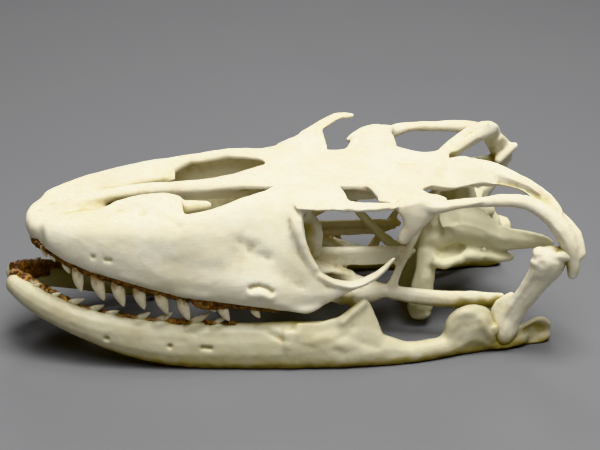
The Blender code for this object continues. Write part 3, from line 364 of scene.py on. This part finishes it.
def strut(name, line, thickness):
    """A round bar along a smooth line, as thick at each of its points as the table says."""
    course = bpy.data.curves.new(name, "CURVE")
    course.dimensions = "3D"
    course.bevel_depth = MM
    course.bevel_resolution = 3
    course.use_fill_caps = True
    run = course.splines.new("NURBS")
    run.points.add(len(line) - 1)
    for point, place, size in zip(run.points, to_frame(line), thickness):
        point.co = (*place, 1.0)
        point.radius = size
    run.order_u = min(3, len(line))
    run.use_endpoint_u = True
    piece = bpy.data.objects.new(name, course)
    bpy.context.scene.collection.objects.link(piece)
    pick(piece)
    bpy.ops.object.convert(target="MESH")
    return bpy.context.object


def cut_off(piece, rim, reach):
    """Cut a bone off at a rim that runs along the skull, on the side that the reach points to."""
    corners = [(y, z) for y, _, z in rim]
    corners += [(rim[-1][0], rim[-1][2] + reach), (rim[0][0], rim[0][2] + reach)]
    count = len(corners)
    points = [(x, y, z) for x in (-CUT_HALF_WIDTH, CUT_HALF_WIDTH) for y, z in corners]
    sides = [(k, (k + 1) % count, count + (k + 1) % count, count + k) for k in range(count)]
    sides += [tuple(range(count)), tuple(range(2 * count - 1, count - 1, -1))]
    mesh = bpy.data.meshes.new("cutter")
    mesh.from_pydata([tuple(p) for p in to_frame(points)], [], sides)
    cutter = bpy.data.objects.new("cutter", mesh)
    bpy.context.scene.collection.objects.link(cutter)
    turn_outwards(cutter)
    apply_modifier(piece, "BOOLEAN", operation="DIFFERENCE", object=cutter, solver="EXACT")
    bpy.data.objects.remove(cutter)


def fused_bones(name, nodes, voxel, web, knobs=(), rim=None, reach=0.0):
    """One smooth bone from copies of the solids, whose seams close and whose facets go.

    The voxel is the distance between the corners of its surface, and the web is how wide it
    spreads into its sharp inner corners, both in millimetres. With a rim, what lies beyond it,
    such as the solids' teeth, comes off.
    """
    copies = []
    for node in nodes:
        copy = bpy.data.objects.new(name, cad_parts[node].data.copy())
        copy.data.materials.clear()
        bpy.context.scene.collection.objects.link(copy)
        copies.append(copy)
    piece = joined(name, copies)
    merge_corners(piece)
    if rim:
        cut_off(piece, rim, reach)
    if knobs:
        piece = joined(name, [piece] + [strut(name, line, size) for line, size in knobs])
        merge_corners(piece)
    apply_modifier(piece, "DISPLACE", strength=SEAM_SWELL * MM, mid_level=0.0)
    apply_modifier(piece, "REMESH", mode="VOXEL", voxel_size=voxel * MM)
    apply_modifier(piece, "SMOOTH", factor=0.5, iterations=2)
    apply_modifier(piece, "DISPLACE", strength=web * MM, mid_level=0.0)
    apply_modifier(piece, "REMESH", mode="VOXEL", voxel_size=voxel * MM)
    apply_modifier(piece, "SMOOTH", factor=0.5, iterations=3)
    apply_modifier(piece, "DISPLACE", strength=-web * MM, mid_level=0.0)
    apply_modifier(piece, "REMESH", mode="VOXEL", voxel_size=voxel * MM)
    even_out(piece)
    return piece


def soften(piece, share, rounds):
    """Even out a bone's corners with their neighbours, each by its own share."""
    mesh = piece.data
    places = coordinates(mesh)
    one, two = edge_ends(mesh)
    size = len(places)
    count = np.maximum(np.bincount(one, minlength=size) + np.bincount(two, minlength=size), 1)
    for _ in range(rounds):
        for axis in range(3):
            row = places[:, axis]
            total = np.bincount(one, row[two], size) + np.bincount(two, row[one], size)
            places[:, axis] = row + 0.5 * share * (total / count - row)
    set_coordinates(mesh, places)


def stand_on_floor(piece):
    """Keep a bone from sinking into the floor."""
    places = coordinates(piece.data)
    places[:, 2] = np.maximum(places[:, 2], FLOOR_GAP * MM)
    set_coordinates(piece.data, places)


def ramp_between(values, low, high):
    """A smooth rise from 0 at low to 1 at high."""
    share = np.clip((values - low) / (high - low), 0.0, 1.0)
    return share * share * (3.0 - 2.0 * share)


def even_out(piece):
    """Smooth the facets away and keep the thickness, by turns of smoothing and swelling."""
    for _ in range(SMOOTH_TURNS):
        add_modifier(piece, "SMOOTH", factor=0.5, iterations=1)
        add_modifier(piece, "SMOOTH", factor=-0.52, iterations=1)
    pick(piece)
    bpy.ops.object.convert(target="MESH")


def uneven(piece, size, height):
    """Slight hills and hollows over a bone, as none is quite even."""
    hills = bpy.data.textures.new("hills", "CLOUDS")
    hills.noise_scale = size * MM
    hills.noise_depth = 2
    apply_modifier(piece, "DISPLACE", strength=height * MM, mid_level=0.5, texture=hills,
                   texture_coords="LOCAL")
    bpy.data.textures.remove(hills)


def to_frame(points):
    """Points of the drawing, in millimetres, in the frame's metres."""
    return (np.array(points, dtype=float) - np.array(RESTING)) * MM


def distance_to_line(places, line):
    """How far each place lies from a line through points."""
    best = np.full(len(places), np.inf)
    for start, end in zip(line[:-1], line[1:]):
        run = end - start
        share = np.clip(((places - start) @ run) / max(run @ run, 1e-12), 0.0, 1.0)
        gap = np.linalg.norm(places - (start + share[:, None] * run), axis=1)
        best = np.minimum(best, gap)
    return best


def carve(piece, marks):
    """Press grooves and pits into a bone, or raise ridges where the depth is negative."""
    places = coordinates(piece.data)
    ways = directions(piece.data)
    depth = np.zeros(len(places))
    for line, width, amount in marks:
        points = to_frame(line)
        low = points.min(axis=0) - 3 * width * MM
        high = points.max(axis=0) + 3 * width * MM
        inside = np.all((places > low) & (places < high), axis=1)
        if len(points) == 1:
            gap = np.linalg.norm(places[inside] - points[0], axis=1)
        else:
            gap = distance_to_line(places[inside], points)
        depth[inside] += amount * MM * np.exp(-(gap / (width * MM)) ** 2)
    set_coordinates(piece.data, places - ways * depth[:, None])


def on_side(table, sign):
    """A table of lines for the animal's left, or its twin for the right where the sign is less."""
    return [([(sign * x, y, z) for x, y, z in row[0]],) + tuple(row[1:]) for row in table]


def keep_under_limit(piece):
    """Take out triangles where a bone is flattest, down to the most that a piece may have."""
    piece.data.calc_loop_triangles()
    triangles = len(piece.data.loop_triangles)
    if triangles > MOST_TRIANGLES:
        apply_modifier(piece, "DECIMATE", ratio=MOST_TRIANGLES / triangles)


def all_solids():
    """Every solid of the skull in one tree, to find how enclosed a place is."""
    corners = []
    faces = []
    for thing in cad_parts.values():
        first = len(corners)
        corners.extend(v.co.copy() for v in thing.data.vertices)
        faces.extend([first + i for i in p.vertices] for p in thing.data.polygons)
    return BVHTree.FromPolygons(corners, faces)


def rays_around():
    """Rays that fan out evenly over the half of space round +Z."""
    rays = []
    for count in range(RAYS):
        height = math.sqrt((count + 0.5) / RAYS)
        angle = count * RAY_TURN
        flat = math.sqrt(1 - height * height)
        rays.append(Vector((flat * math.cos(angle), flat * math.sin(angle), height)))
    return rays


SOLIDS = all_solids()
HEMISPHERE = rays_around()


def openness(place, way):
    """How much of the view from a place is free of bones and floor, from 0 to 1."""
    reach = RAY_REACH * MM
    side = way.orthogonal().normalized()
    turn = Matrix((side, way.cross(side), way)).transposed()
    start = place + way * (RAY_LIFT * MM)
    closed = 0.0
    for ray in HEMISPHERE:
        ray = turn @ ray
        hit = SOLIDS.ray_cast(start, ray, reach)
        far = hit[3] if hit[0] is not None and hit[3] > OWN_SKIN * MM else reach
        if ray.z < 0.0:
            far = min(far, max(-start.z / ray.z, 0.0))
        closed += 1.0 - far / reach
    return 1.0 - closed / len(HEMISPHERE)


def mark_depth(piece):
    """Store at each corner how deep in the skull it lies and how sharply the bone bends there.

    The depth is counted at some corners only, and spread from them over the rest.
    """
    mesh = piece.data
    places = coordinates(mesh)
    ways = directions(mesh)
    ends = edge_ends(mesh)
    size = len(places)
    # The depth is the mask of painted shade in the bone finishes.
    known = np.zeros(size, dtype=bool)
    known[::DEPTH_STEP] = True
    deep = np.zeros(size)
    for index in np.nonzero(known)[0]:
        deep[index] = 1.0 - openness(Vector(places[index]), Vector(ways[index]))
    weight = spread(known.astype(float), ends, SPREAD_ROUNDS)
    value = spread(deep, ends, SPREAD_ROUNDS) / np.maximum(weight, 1e-9)
    keep_value(mesh, "depth", np.clip(spread(value, ends, 6), 0.0, 1.0))
    # How sharply the bone bends inwards, kept as the mask of painted shade in its creases.
    one, two = ends
    count = np.maximum(np.bincount(one, minlength=size) + np.bincount(two, minlength=size), 1)
    bend = np.zeros(size)
    for axis in range(3):
        total = np.bincount(one, places[two, axis], size) + np.bincount(two, places[one, axis], size)
        bend += (total / count - places[:, axis]) * ways[:, axis]
    bend = spread(bend, ends, 3)
    keep_value(mesh, "crease_shade", np.clip(0.5 + bend / (SHARP_BEND * MM), 0.0, 1.0))


# Materials

class Recipe:
    """A material in the making: nodes are added and wired by name."""

    def __init__(self, name):
        self.material = bpy.data.materials.new(name)
        self.material.use_nodes = True
        self.tree = self.material.node_tree
        self.shader = self.tree.nodes["Principled BSDF"]
        self.place = self.add("ShaderNodeTexCoord").outputs["Object"]

    def add(self, kind, **settings):
        """Add a node. Settings are its own, inputs are given as a dictionary."""
        inputs = settings.pop("inputs", {})
        node = self.tree.nodes.new(kind)
        for name, value in settings.items():
            setattr(node, name, value)
        for name, value in inputs.items():
            if isinstance(value, bpy.types.NodeSocket):
                self.tree.links.new(value, node.inputs[name])
            else:
                node.inputs[name].default_value = value
        return node

    def noise(self, size, detail=3.0, rough=0.55, stretch=None):
        """Cloudy grain whose hills are about size millimetres apart."""
        place = self.place
        if stretch:
            place = self.add("ShaderNodeMapping", inputs={"Vector": place,
                                                         "Scale": stretch}).outputs["Vector"]
        return self.add("ShaderNodeTexNoise",
                        inputs={"Vector": place, "Scale": 1 / (size * MM), "Detail": detail,
                                "Roughness": rough}).outputs["Fac"]

    def ramp(self, value, low, high, dark=0.0, bright=1.0):
        """Stretch a value from low..high to dark..bright."""
        return self.add("ShaderNodeMapRange",
                        inputs={"Value": value, "From Min": low, "From Max": high,
                                "To Min": dark, "To Max": bright}).outputs["Result"]

    def sums(self, kind, one, two):
        """Arithmetic on two values."""
        return self.add("ShaderNodeMath", operation=kind, inputs={0: one, 1: two}).outputs[0]

    def mix(self, share, one, two):
        """Blend two colours."""
        node = self.add("ShaderNodeMix", data_type="RGBA")
        plugs = [s for s in node.inputs if s.type == "RGBA"]
        for socket, value in ((node.inputs[0], share), (plugs[0], one), (plugs[1], two)):
            if isinstance(value, bpy.types.NodeSocket):
                self.tree.links.new(value, socket)
            else:
                socket.default_value = value
        return [s for s in node.outputs if s.type == "RGBA"][0]

    def stored(self, name):
        """A value stored at the corners of the piece."""
        return self.add("ShaderNodeAttribute", attribute_name=name).outputs["Fac"]

    def finish(self, base, roughness, height, lift, **constants):
        """Wire colour, roughness and relief to the shader, and set its constants."""
        self.tree.links.new(base, self.shader.inputs["Base Color"])
        self.tree.links.new(roughness, self.shader.inputs["Roughness"])
        bump = self.add("ShaderNodeBump", inputs={"Height": height, "Strength": 0.6,
                                                 "Distance": lift * MM})
        self.tree.links.new(bump.outputs["Normal"], self.shader.inputs["Normal"])
        for name, value in constants.items():
            self.shader.inputs[name].default_value = value
        return self.material


def colour(red, green, blue):
    """An opaque colour."""
    return (red, green, blue, 1.0)


def toned(base, red, green, blue):
    """A colour with each of its parts made stronger or weaker."""
    return colour(base[0] * red, base[1] * green, base[2] * blue)


def bone_finish(name, ivory, warm, deep):
    """Dry bone: ivory where it is open, olive and brown as painted shade in its recesses and
    creases.
    """
    recipe = Recipe(name)
    blotches = recipe.noise(16.0, 3.0)
    patches = recipe.noise(5.0, 4.0, 0.6)
    grain = recipe.noise(0.9, 4.0, 0.6)
    fibres = recipe.noise(1.0, 3.0, 0.55, stretch=(1.6, 0.16, 1.6))
    pores = recipe.add("ShaderNodeTexVoronoi",
                       inputs={"Vector": recipe.place, "Scale": 1 / (1.7 * MM)}).outputs["Distance"]
    base = recipe.mix(recipe.ramp(blotches, 0.36, 0.64), ivory, warm)
    base = recipe.mix(recipe.ramp(patches, 0.52, 0.78, 0.0, 0.30), base,
                      colour(0.62, 0.57, 0.38))
    # Painted shade: the more enclosed a place is, the more its colour goes to olive, and deep in the
    # skull to near black.
    depth = recipe.stored("depth")
    wobble = recipe.ramp(patches, 0.3, 0.7, -0.08, 0.08)
    sunk = recipe.sums("ADD", depth, wobble)
    base = recipe.mix(recipe.ramp(sunk, 0.13, 0.50, 0.0, 0.94), base, deep)
    base = recipe.mix(recipe.ramp(sunk, 0.46, 0.80, 0.0, 0.9), base,
                      toned(deep, 0.36, 0.30, 0.4))
    # Painted shade in the creases, where the bone bends inwards.
    crease_shade = recipe.ramp(recipe.stored("crease_shade"), 0.66, 1.0, 0.0, 0.6)
    base = recipe.mix(crease_shade, base, toned(deep, 0.9, 0.86, 0.9))
    base = recipe.mix(recipe.ramp(fibres, 0.40, 0.72, 0.0, 0.12), base,
                      colour(0.50, 0.44, 0.26))
    base = recipe.mix(recipe.ramp(pores, 0.02, 0.12, 0.16, 0.0), base,
                      colour(0.26, 0.19, 0.08))
    roughness = recipe.ramp(grain, 0.3, 0.7, 0.38, 0.56)
    relief = recipe.sums("ADD", recipe.sums("MULTIPLY", grain, 0.5),
                         recipe.sums("MULTIPLY", fibres, 0.5))
    relief = recipe.sums("ADD", relief, recipe.ramp(pores, 0.0, 0.12, -0.3, 0.0))
    return recipe.finish(base, roughness, relief, 0.12,
                         **{"Subsurface Weight": 0.10, "Subsurface Scale": 0.003,
                            "Specular IOR Level": 0.38, "Coat Weight": 0.06,
                            "Coat Roughness": 0.35})


def tooth_finish():
    """Smooth enamel, whiter at the tip and stained brown where it leaves the gum."""
    recipe = Recipe("enamel")
    streaks = recipe.noise(1.4, 3.0, 0.55, stretch=(1.0, 1.0, 0.3))
    clouds = recipe.noise(3.0, 2.0)
    crown = recipe.stored("crown")
    base = recipe.mix(recipe.ramp(clouds, 0.3, 0.7), colour(0.76, 0.70, 0.52),
                      colour(0.62, 0.55, 0.36))
    stain = recipe.sums("ADD", crown, recipe.ramp(streaks, 0.3, 0.7, -0.12, 0.12))
    base = recipe.mix(recipe.ramp(stain, 0.12, 0.40, 0.9, 0.0), base, colour(0.26, 0.15, 0.05))
    base = recipe.mix(recipe.ramp(streaks, 0.5, 0.75, 0.0, 0.25), base, colour(0.50, 0.45, 0.32))
    roughness = recipe.ramp(streaks, 0.3, 0.7, 0.18, 0.34)
    return recipe.finish(base, roughness, streaks, 0.04,
                         **{"Subsurface Weight": 0.15, "Subsurface Scale": 0.0015,
                            "Specular IOR Level": 0.5, "Coat Weight": 0.3, "Coat Roughness": 0.15})


def gum_finish():
    """Dried gum: dark brown to rust, with orange and yellow crumbs."""
    recipe = Recipe("dried_gum")
    crumbs = recipe.noise(1.8, 4.0, 0.65)
    clouds = recipe.noise(6.0, 3.0)
    grain = recipe.noise(0.5, 3.0, 0.6)
    front = recipe.stored("front")
    base = recipe.mix(recipe.ramp(crumbs, 0.40, 0.60), colour(0.045, 0.020, 0.008),
                      colour(0.15, 0.062, 0.020))
    bright = recipe.sums("MULTIPLY", recipe.ramp(crumbs, 0.46, 0.62), front)
    base = recipe.mix(bright, base, colour(0.62, 0.33, 0.07))
    pale = recipe.sums("MULTIPLY", recipe.ramp(clouds, 0.52, 0.66, 0.0, 0.8), front)
    base = recipe.mix(pale, base, colour(0.66, 0.55, 0.30))
    roughness = recipe.ramp(grain, 0.3, 0.7, 0.35, 0.7)
    return recipe.finish(base, roughness, recipe.sums("ADD", crumbs, grain), 0.25,
                         **{"Subsurface Weight": 0.05, "Subsurface Scale": 0.002,
                            "Specular IOR Level": 0.45})


# Teeth and gum

def crown(name, side, row):
    """A leaf-shaped, flattened and recurved tooth, its root sunk a little into the bone."""
    x, root_y, root_z, tip_y, tip_z, width = row
    bpy.ops.mesh.primitive_uv_sphere_add(segments=20, ring_count=18, radius=1.0)
    piece = bpy.context.object
    piece.name = name
    places = coordinates(piece.data)
    root = np.array((side * x, root_y, root_z))
    tip = np.array((side * (x + 0.5), tip_y, tip_z))
    length = np.linalg.norm(tip - root)
    way = (tip - root) / length
    across = np.cross(way, (0.0, 1.0, 0.0))
    across /= np.linalg.norm(across)
    back = np.cross(across, way)
    back *= math.copysign(1.0, back[1])
    if abs(way[1]) > 0.8:
        back *= math.copysign(1.0, back[2])
    share = 0.5 + 0.5 * places[:, 2]
    ring = np.maximum(np.hypot(places[:, 0], places[:, 1]), 1e-6)
    turn_a, turn_b = places[:, 0] / ring, places[:, 1] / ring
    # Half the width from root to tip: a slight belly that closes to a point
    swell = 0.84 + 0.18 * np.sin(math.pi * np.clip(share / 0.8, 0, 1))
    swell *= np.clip(1 - share ** 3.6, 0, 1) ** 0.72
    swell = swell * np.clip(share / 0.03, 0, 1) * 0.5 * width
    # The crown bends back towards its tip and is flatter than it is wide
    bow = (share ** 2 - 0.8 * share) * 0.12 * length
    centre = root + share[:, None] * (tip - root) + bow[:, None] * back
    edge = np.sign(turn_a) * np.abs(turn_a) ** 0.85
    places = (centre + (swell * edge)[:, None] * back
              + (0.56 * swell * turn_b)[:, None] * across)
    keep_value(piece.data, "crown", share)
    set_coordinates(piece.data, to_frame(places))
    turn_outwards(piece)
    return piece


def tooth_row(name, side, table):
    """All the teeth of one side in one piece."""
    return joined(name, [crown(name, side, line) for line in table])


def beside(rim, inwards, down):
    """A line beside a rim, that much further in and down."""
    return [(x - inwards, y, z - down) for y, x, z in rim]


def gum_line(name, lines, crumb, height, bright):
    """Crusts of dried gum along lines, uneven all over, bright where they are rusty."""
    piece = joined(name, [strut(name, line, thickness) for line, thickness in lines])
    first, last = GUM_GRAINS
    apply_modifier(piece, "REMESH", mode="VOXEL", voxel_size=first * MM)
    uneven(piece, crumb, height)
    apply_modifier(piece, "REMESH", mode="VOXEL", voxel_size=last * MM)
    apply_modifier(piece, "SMOOTH", factor=0.5, iterations=2)
    keep_value(piece.data, "front", np.full(len(piece.data.vertices), bright))
    return piece


def finish_piece(piece, material, slot, *nodes):
    """Give a piece its material, let it ride on the skull and stand for its solids. The slot is not
    used.
    """
    piece.data.materials.clear()
    piece.data.materials.append(material)
    pick(piece)
    bpy.ops.object.shade_smooth()
    if nodes:
        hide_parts(*nodes)
    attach(piece, BODY)


# Settings, operators and panel

class SkullSettings(bpy.types.PropertyGroup):
    """Sizes and colours that a user would change."""

    ivory: bpy.props.FloatVectorProperty(
        name="Ivory", description="Colour of open, clean bone", subtype="COLOR", size=4,
        min=0.0, max=1.0, default=(0.86, 0.82, 0.66, 1.0))
    warm: bpy.props.FloatVectorProperty(
        name="Warm Ivory", description="Colour of the bone's warmer blotches", subtype="COLOR",
        size=4, min=0.0, max=1.0, default=(0.82, 0.76, 0.56, 1.0))
    # The olive is the painted shade colour that the bone takes in its recesses and deep in the
    # skull.
    olive: bpy.props.FloatVectorProperty(
        name="Olive", description="Colour of bone deep in the skull", subtype="COLOR", size=4,
        min=0.0, max=1.0, default=(0.40, 0.33, 0.10, 1.0))
    grain: bpy.props.FloatProperty(
        name="Bone Grain", description="Distance between the corners of a bone's surface, in mm",
        default=0.5, min=0.3, max=2.0)
    floor_grey: bpy.props.FloatVectorProperty(
        name="Floor", description="Colour of the floor", subtype="COLOR", size=4,
        min=0.0, max=1.0, default=(0.17, 0.17, 0.175, 1.0))


class SKULL_OT_cranium(bpy.types.Operator):
    """Snout, roof, eye sockets and temple arches in one bone"""

    bl_idname = "skull.cranium"
    bl_label = "Build Cranium"

    def execute(self, context):
        looks = context.scene.skull_looks
        piece = fused_bones("cranium", CRANIUM_BONES, looks.grain, 0.7, CRANIUM_KNOBS, LIP,
                            -CUT_DEPTH)
        places = coordinates(piece.data)
        ways = directions(piece.data)
        # The roof is made even where it faces up, the cheeks where they face out, and the tip
        level = np.clip((ways[:, 2] - 0.3) / 0.4, 0.0, 1.0)
        y = places[:, 1] / MM
        roof = ramp_between(y, *FOREHEAD) * (1.0 - 0.5 * ramp_between(y, *ROOF_WAIST))
        roof *= 1.0 - ramp_between(y, *ROOF_END)
        snout = 0.35 * (1.0 - ramp_between(y, *FOREHEAD))
        soften(piece, level * (roof + snout), 70)
        flank = np.clip((np.abs(ways[:, 0]) - 0.5) / 0.3, 0.0, 1.0)
        flank *= 1.0 - ramp_between(y, *EYE_FRONT)
        flank *= np.clip((places[:, 2] / MM - 28) / 6, 0, 1)
        tip = (1.0 - ramp_between(y, *SNOUT_TIP)) * (ways[:, 2] > -0.5)
        soften(piece, np.maximum(flank, tip), 60)
        carve(piece, CRANIUM_MARKS)
        uneven(piece, 7.0, 0.45)
        keep_under_limit(piece)
        mark_depth(piece)
        finish_piece(piece, bone_finish("ivory_bone", looks.ivory, looks.warm, looks.olive),
                     "roof_bone", *CRANIUM_BONES)
        return {"FINISHED"}


class SKULL_OT_quadrates(bpy.types.Operator):
    """Uprights that carry the lower jaw"""

    bl_idname = "skull.quadrates"
    bl_label = "Build Quadrates"

    def execute(self, context):
        for side, sign in SIDES:
            node = "quadrate_" + side
            piece = fused_bones("upright_" + side, [node],
                                context.scene.skull_looks.grain * 0.8, 0.8,
                                on_side(QUADRATE_KNOBS, sign))
            carve(piece, on_side(QUADRATE_MARKS, sign))
            uneven(piece, 5.0, 0.4)
            mark_depth(piece)
            finish_piece(piece, bpy.data.materials["ivory_bone"], "roof_bone", node)
        return {"FINISHED"}


class SKULL_OT_palate(bpy.types.Operator):
    """Bones of the palate and the slim props above them"""

    bl_idname = "skull.palate"
    bl_label = "Build Palate"

    def execute(self, context):
        looks = context.scene.skull_looks
        piece = fused_bones("palate", PALATE_BONES, looks.grain, 0.6)
        uneven(piece, 5.0, 0.4)
        keep_under_limit(piece)
        mark_depth(piece)
        # The palate's painted shade is a slightly lighter olive.
        deep = toned(looks.olive, 1.1, 1.1, 1.1)
        finish_piece(piece, bone_finish("inner_bone", looks.ivory, looks.warm, deep),
                     "inner_bone", *PALATE_BONES)
        return {"FINISHED"}


class SKULL_OT_braincase(bpy.types.Operator):
    """Braincase with its wings and feet"""

    bl_idname = "skull.braincase"
    bl_label = "Build Braincase"

    def execute(self, context):
        knobs = BRAINCASE_KNOBS + on_side(BRAINCASE_KNOBS, -1.0)
        piece = fused_bones("brain_box", BRAINCASE_BONES, context.scene.skull_looks.grain, 1.0,
                            knobs)
        carve(piece, BRAINCASE_MARKS + on_side(BRAINCASE_MARKS, -1.0))
        uneven(piece, 6.0, 0.6)
        keep_under_limit(piece)
        mark_depth(piece)
        finish_piece(piece, bpy.data.materials["inner_bone"], "inner_bone", *BRAINCASE_BONES)
        return {"FINISHED"}


class SKULL_OT_jaws(bpy.types.Operator):
    """The two halves of the lower jaw"""

    bl_idname = "skull.jaws"
    bl_label = "Build Lower Jaw"

    def execute(self, context):
        looks = context.scene.skull_looks
        # Painted shade: the jaw's ivory and warm colours are darker copies, as the jaw lies under
        # the snout's overhang and faces down.
        grey = toned(looks.ivory, 0.68, 0.67, 0.60)
        shaded_warm = toned(looks.warm, 0.62, 0.61, 0.54)
        finish = bone_finish("jaw_bone", grey, shaded_warm, looks.olive)
        for side, sign in SIDES:
            nodes = [name + "_" + side for name in JAW_BONES]
            piece = fused_bones("jaw_" + side, nodes, looks.grain, 0.9,
                                on_side(JAW_KNOBS, sign), JAW_TOP, CUT_DEPTH)
            carve(piece, on_side(JAW_MARKS, sign))
            y = coordinates(piece.data)[:, 1] / MM
            blade = ramp_between(y, *JAW_BLADE_FRONT) * (1.0 - ramp_between(y, *JAW_BLADE_REAR))
            soften(piece, blade, 14)
            uneven(piece, 7.0, 0.5)
            stand_on_floor(piece)
            keep_under_limit(piece)
            mark_depth(piece)
            finish_piece(piece, finish, "jaw_bone", *nodes)
        return {"FINISHED"}


class SKULL_OT_teeth(bpy.types.Operator):
    """Leaf-shaped teeth along both jaws"""

    bl_idname = "skull.teeth"
    bl_label = "Build Teeth"

    def execute(self, context):
        enamel = tooth_finish()
        for side, sign in SIDES:
            for jaw, table in (("upper", UPPER_TEETH), ("lower", LOWER_TEETH)):
                finish_piece(tooth_row(jaw + "_teeth_" + side, sign, table), enamel, "tooth")
        return {"FINISHED"}


class SKULL_OT_gum(bpy.types.Operator):
    """Dried gum along the tooth rows"""

    bl_idname = "skull.gum"
    bl_label = "Build Dried Gum"

    def execute(self, context):
        material = gum_finish()
        upper = [(beside(LIP[:7], 1.5, 0.8), (1.2, 1.5, 1.5, 1.5, 1.5, 1.6, 1.0))] + UPPER_CRUSTS
        lower = [(beside(JAW_TOP[:4], 2.4, 0.9), (2.0, 2.4, 2.2, 1.4)),
                 (beside(JAW_TOP[:3], 3.6, 3.6), (2.2, 2.6, 1.8))]
        rear = [(beside(JAW_TOP[3:], 2.0, 0.8), (0.9, 1.1, 1.1, 1.4, 1.0))]
        for side, sign in SIDES:
            # The orange crumbs are set per row: strong on the left lower row, faint on the right
            # lower and the upper rows.
            rust = 0.8 if sign > 0.0 else 0.1
            for row, lines, crumb, height, bright in (("upper", upper, 1.6, 1.3, 0.12),
                                                      ("lower", lower, 2.0, 1.7, rust),
                                                      ("rear", rear, 1.6, 1.2, 0.4)):
                piece = gum_line(row + "_gum_" + side, on_side(lines, sign), crumb, height, bright)
                finish_piece(piece, material, "dried_gum")
        return {"FINISHED"}


class SKULL_OT_stage(bpy.types.Operator):
    """Plain floor, soft light and the photograph's camera"""

    bl_idname = "skull.stage"
    bl_label = "Set Stage"

    def execute(self, context):
        deselect_all()
        bpy.ops.mesh.primitive_plane_add(size=FLOOR_SIZE, location=(0.0, 0.0, 0.0))
        floor = bpy.context.object
        floor.name = "floor"
        recipe = Recipe("floor_paper")
        grey = context.scene.skull_looks.floor_grey
        cloud = recipe.noise(120.0, 2.0)
        tint = recipe.mix(recipe.ramp(cloud, 0.3, 0.7, 0.0, 0.06), grey, colour(0.24, 0.24, 0.24))
        grain = recipe.noise(0.8, 2.0)
        floor.data.materials.append(recipe.finish(tint, recipe.ramp(grain, 0.3, 0.7, 0.75, 0.85),
                                                  grain, 0.02, **{"Specular IOR Level": 0.2}))
        world = bpy.data.worlds.new("studio")
        world.use_nodes = True
        sky = world.node_tree.nodes["Background"]
        sky.inputs["Color"].default_value = SKY_COLOUR
        sky.inputs["Strength"].default_value = SKY_STRENGTH
        context.scene.world = world
        context.scene.view_settings.view_transform = "Khronos PBR Neutral"
        for panel in PANELS:
            soft_light(*panel)
        photo_camera(context)
        return {"FINISHED"}


def soft_light(name, place, target, size, power):
    """A square panel of soft light that faces a target."""
    data = bpy.data.lights.new(name, "AREA")
    data.size = size
    data.energy = power
    panel = bpy.data.objects.new(name, data)
    panel.location = place
    panel.rotation_euler = (Vector(target) - Vector(place)).to_track_quat("-Z", "Y").to_euler()
    bpy.context.scene.collection.objects.link(panel)


def photo_camera(context):
    """The camera at the photograph's place and angle."""
    across, up = math.radians(CAMERA_AZIMUTH), math.radians(CAMERA_ELEVATION)
    back = Vector((math.sin(across) * math.cos(up), -math.cos(across) * math.cos(up),
                   math.sin(up)))
    right = Vector((math.cos(across), math.sin(across), 0.0))
    turned = Matrix((right, back.cross(right), back)).transposed().to_4x4()
    turned.translation = (CAMERA_PLACE - RESTING) * MM
    lens = bpy.data.cameras.new("photo_camera")
    lens.lens = LENS
    lens.sensor_width = SENSOR
    lens.clip_start = 0.01
    camera = bpy.data.objects.new("photo_camera", lens)
    camera.matrix_world = turned
    context.scene.collection.objects.link(camera)
    context.scene.camera = camera


class SKULL_PT_panel(bpy.types.Panel):
    """Settings and steps of the skull"""

    bl_idname = "SKULL_PT_panel"
    bl_label = "Komodo Dragon Skull"
    bl_space_type = "VIEW_3D"
    bl_region_type = "UI"
    bl_category = "Skull"

    def draw(self, context):
        looks = context.scene.skull_looks
        for name in SkullSettings.__annotations__:
            self.layout.prop(looks, name)
        for step in STEPS:
            self.layout.operator(step.bl_idname)


STEPS = (SKULL_OT_cranium, SKULL_OT_quadrates, SKULL_OT_palate, SKULL_OT_braincase,
         SKULL_OT_jaws, SKULL_OT_teeth, SKULL_OT_gum, SKULL_OT_stage)
CLASSES = (SkullSettings,) + STEPS + (SKULL_PT_panel,)


def register():
    """Make the settings, operators and panel known."""
    for item in CLASSES:
        bpy.utils.register_class(item)
    bpy.types.Scene.skull_looks = bpy.props.PointerProperty(type=SkullSettings)


def unregister():
    """Take the settings, operators and panel away."""
    del bpy.types.Scene.skull_looks
    for item in reversed(CLASSES):
        bpy.utils.unregister_class(item)


def main():
    """Build every piece in order."""
    register()
    for step in STEPS:
        group, name = step.bl_idname.split(".")
        getattr(getattr(bpy.ops, group), name)()


if __name__ == "__main__":
    main()
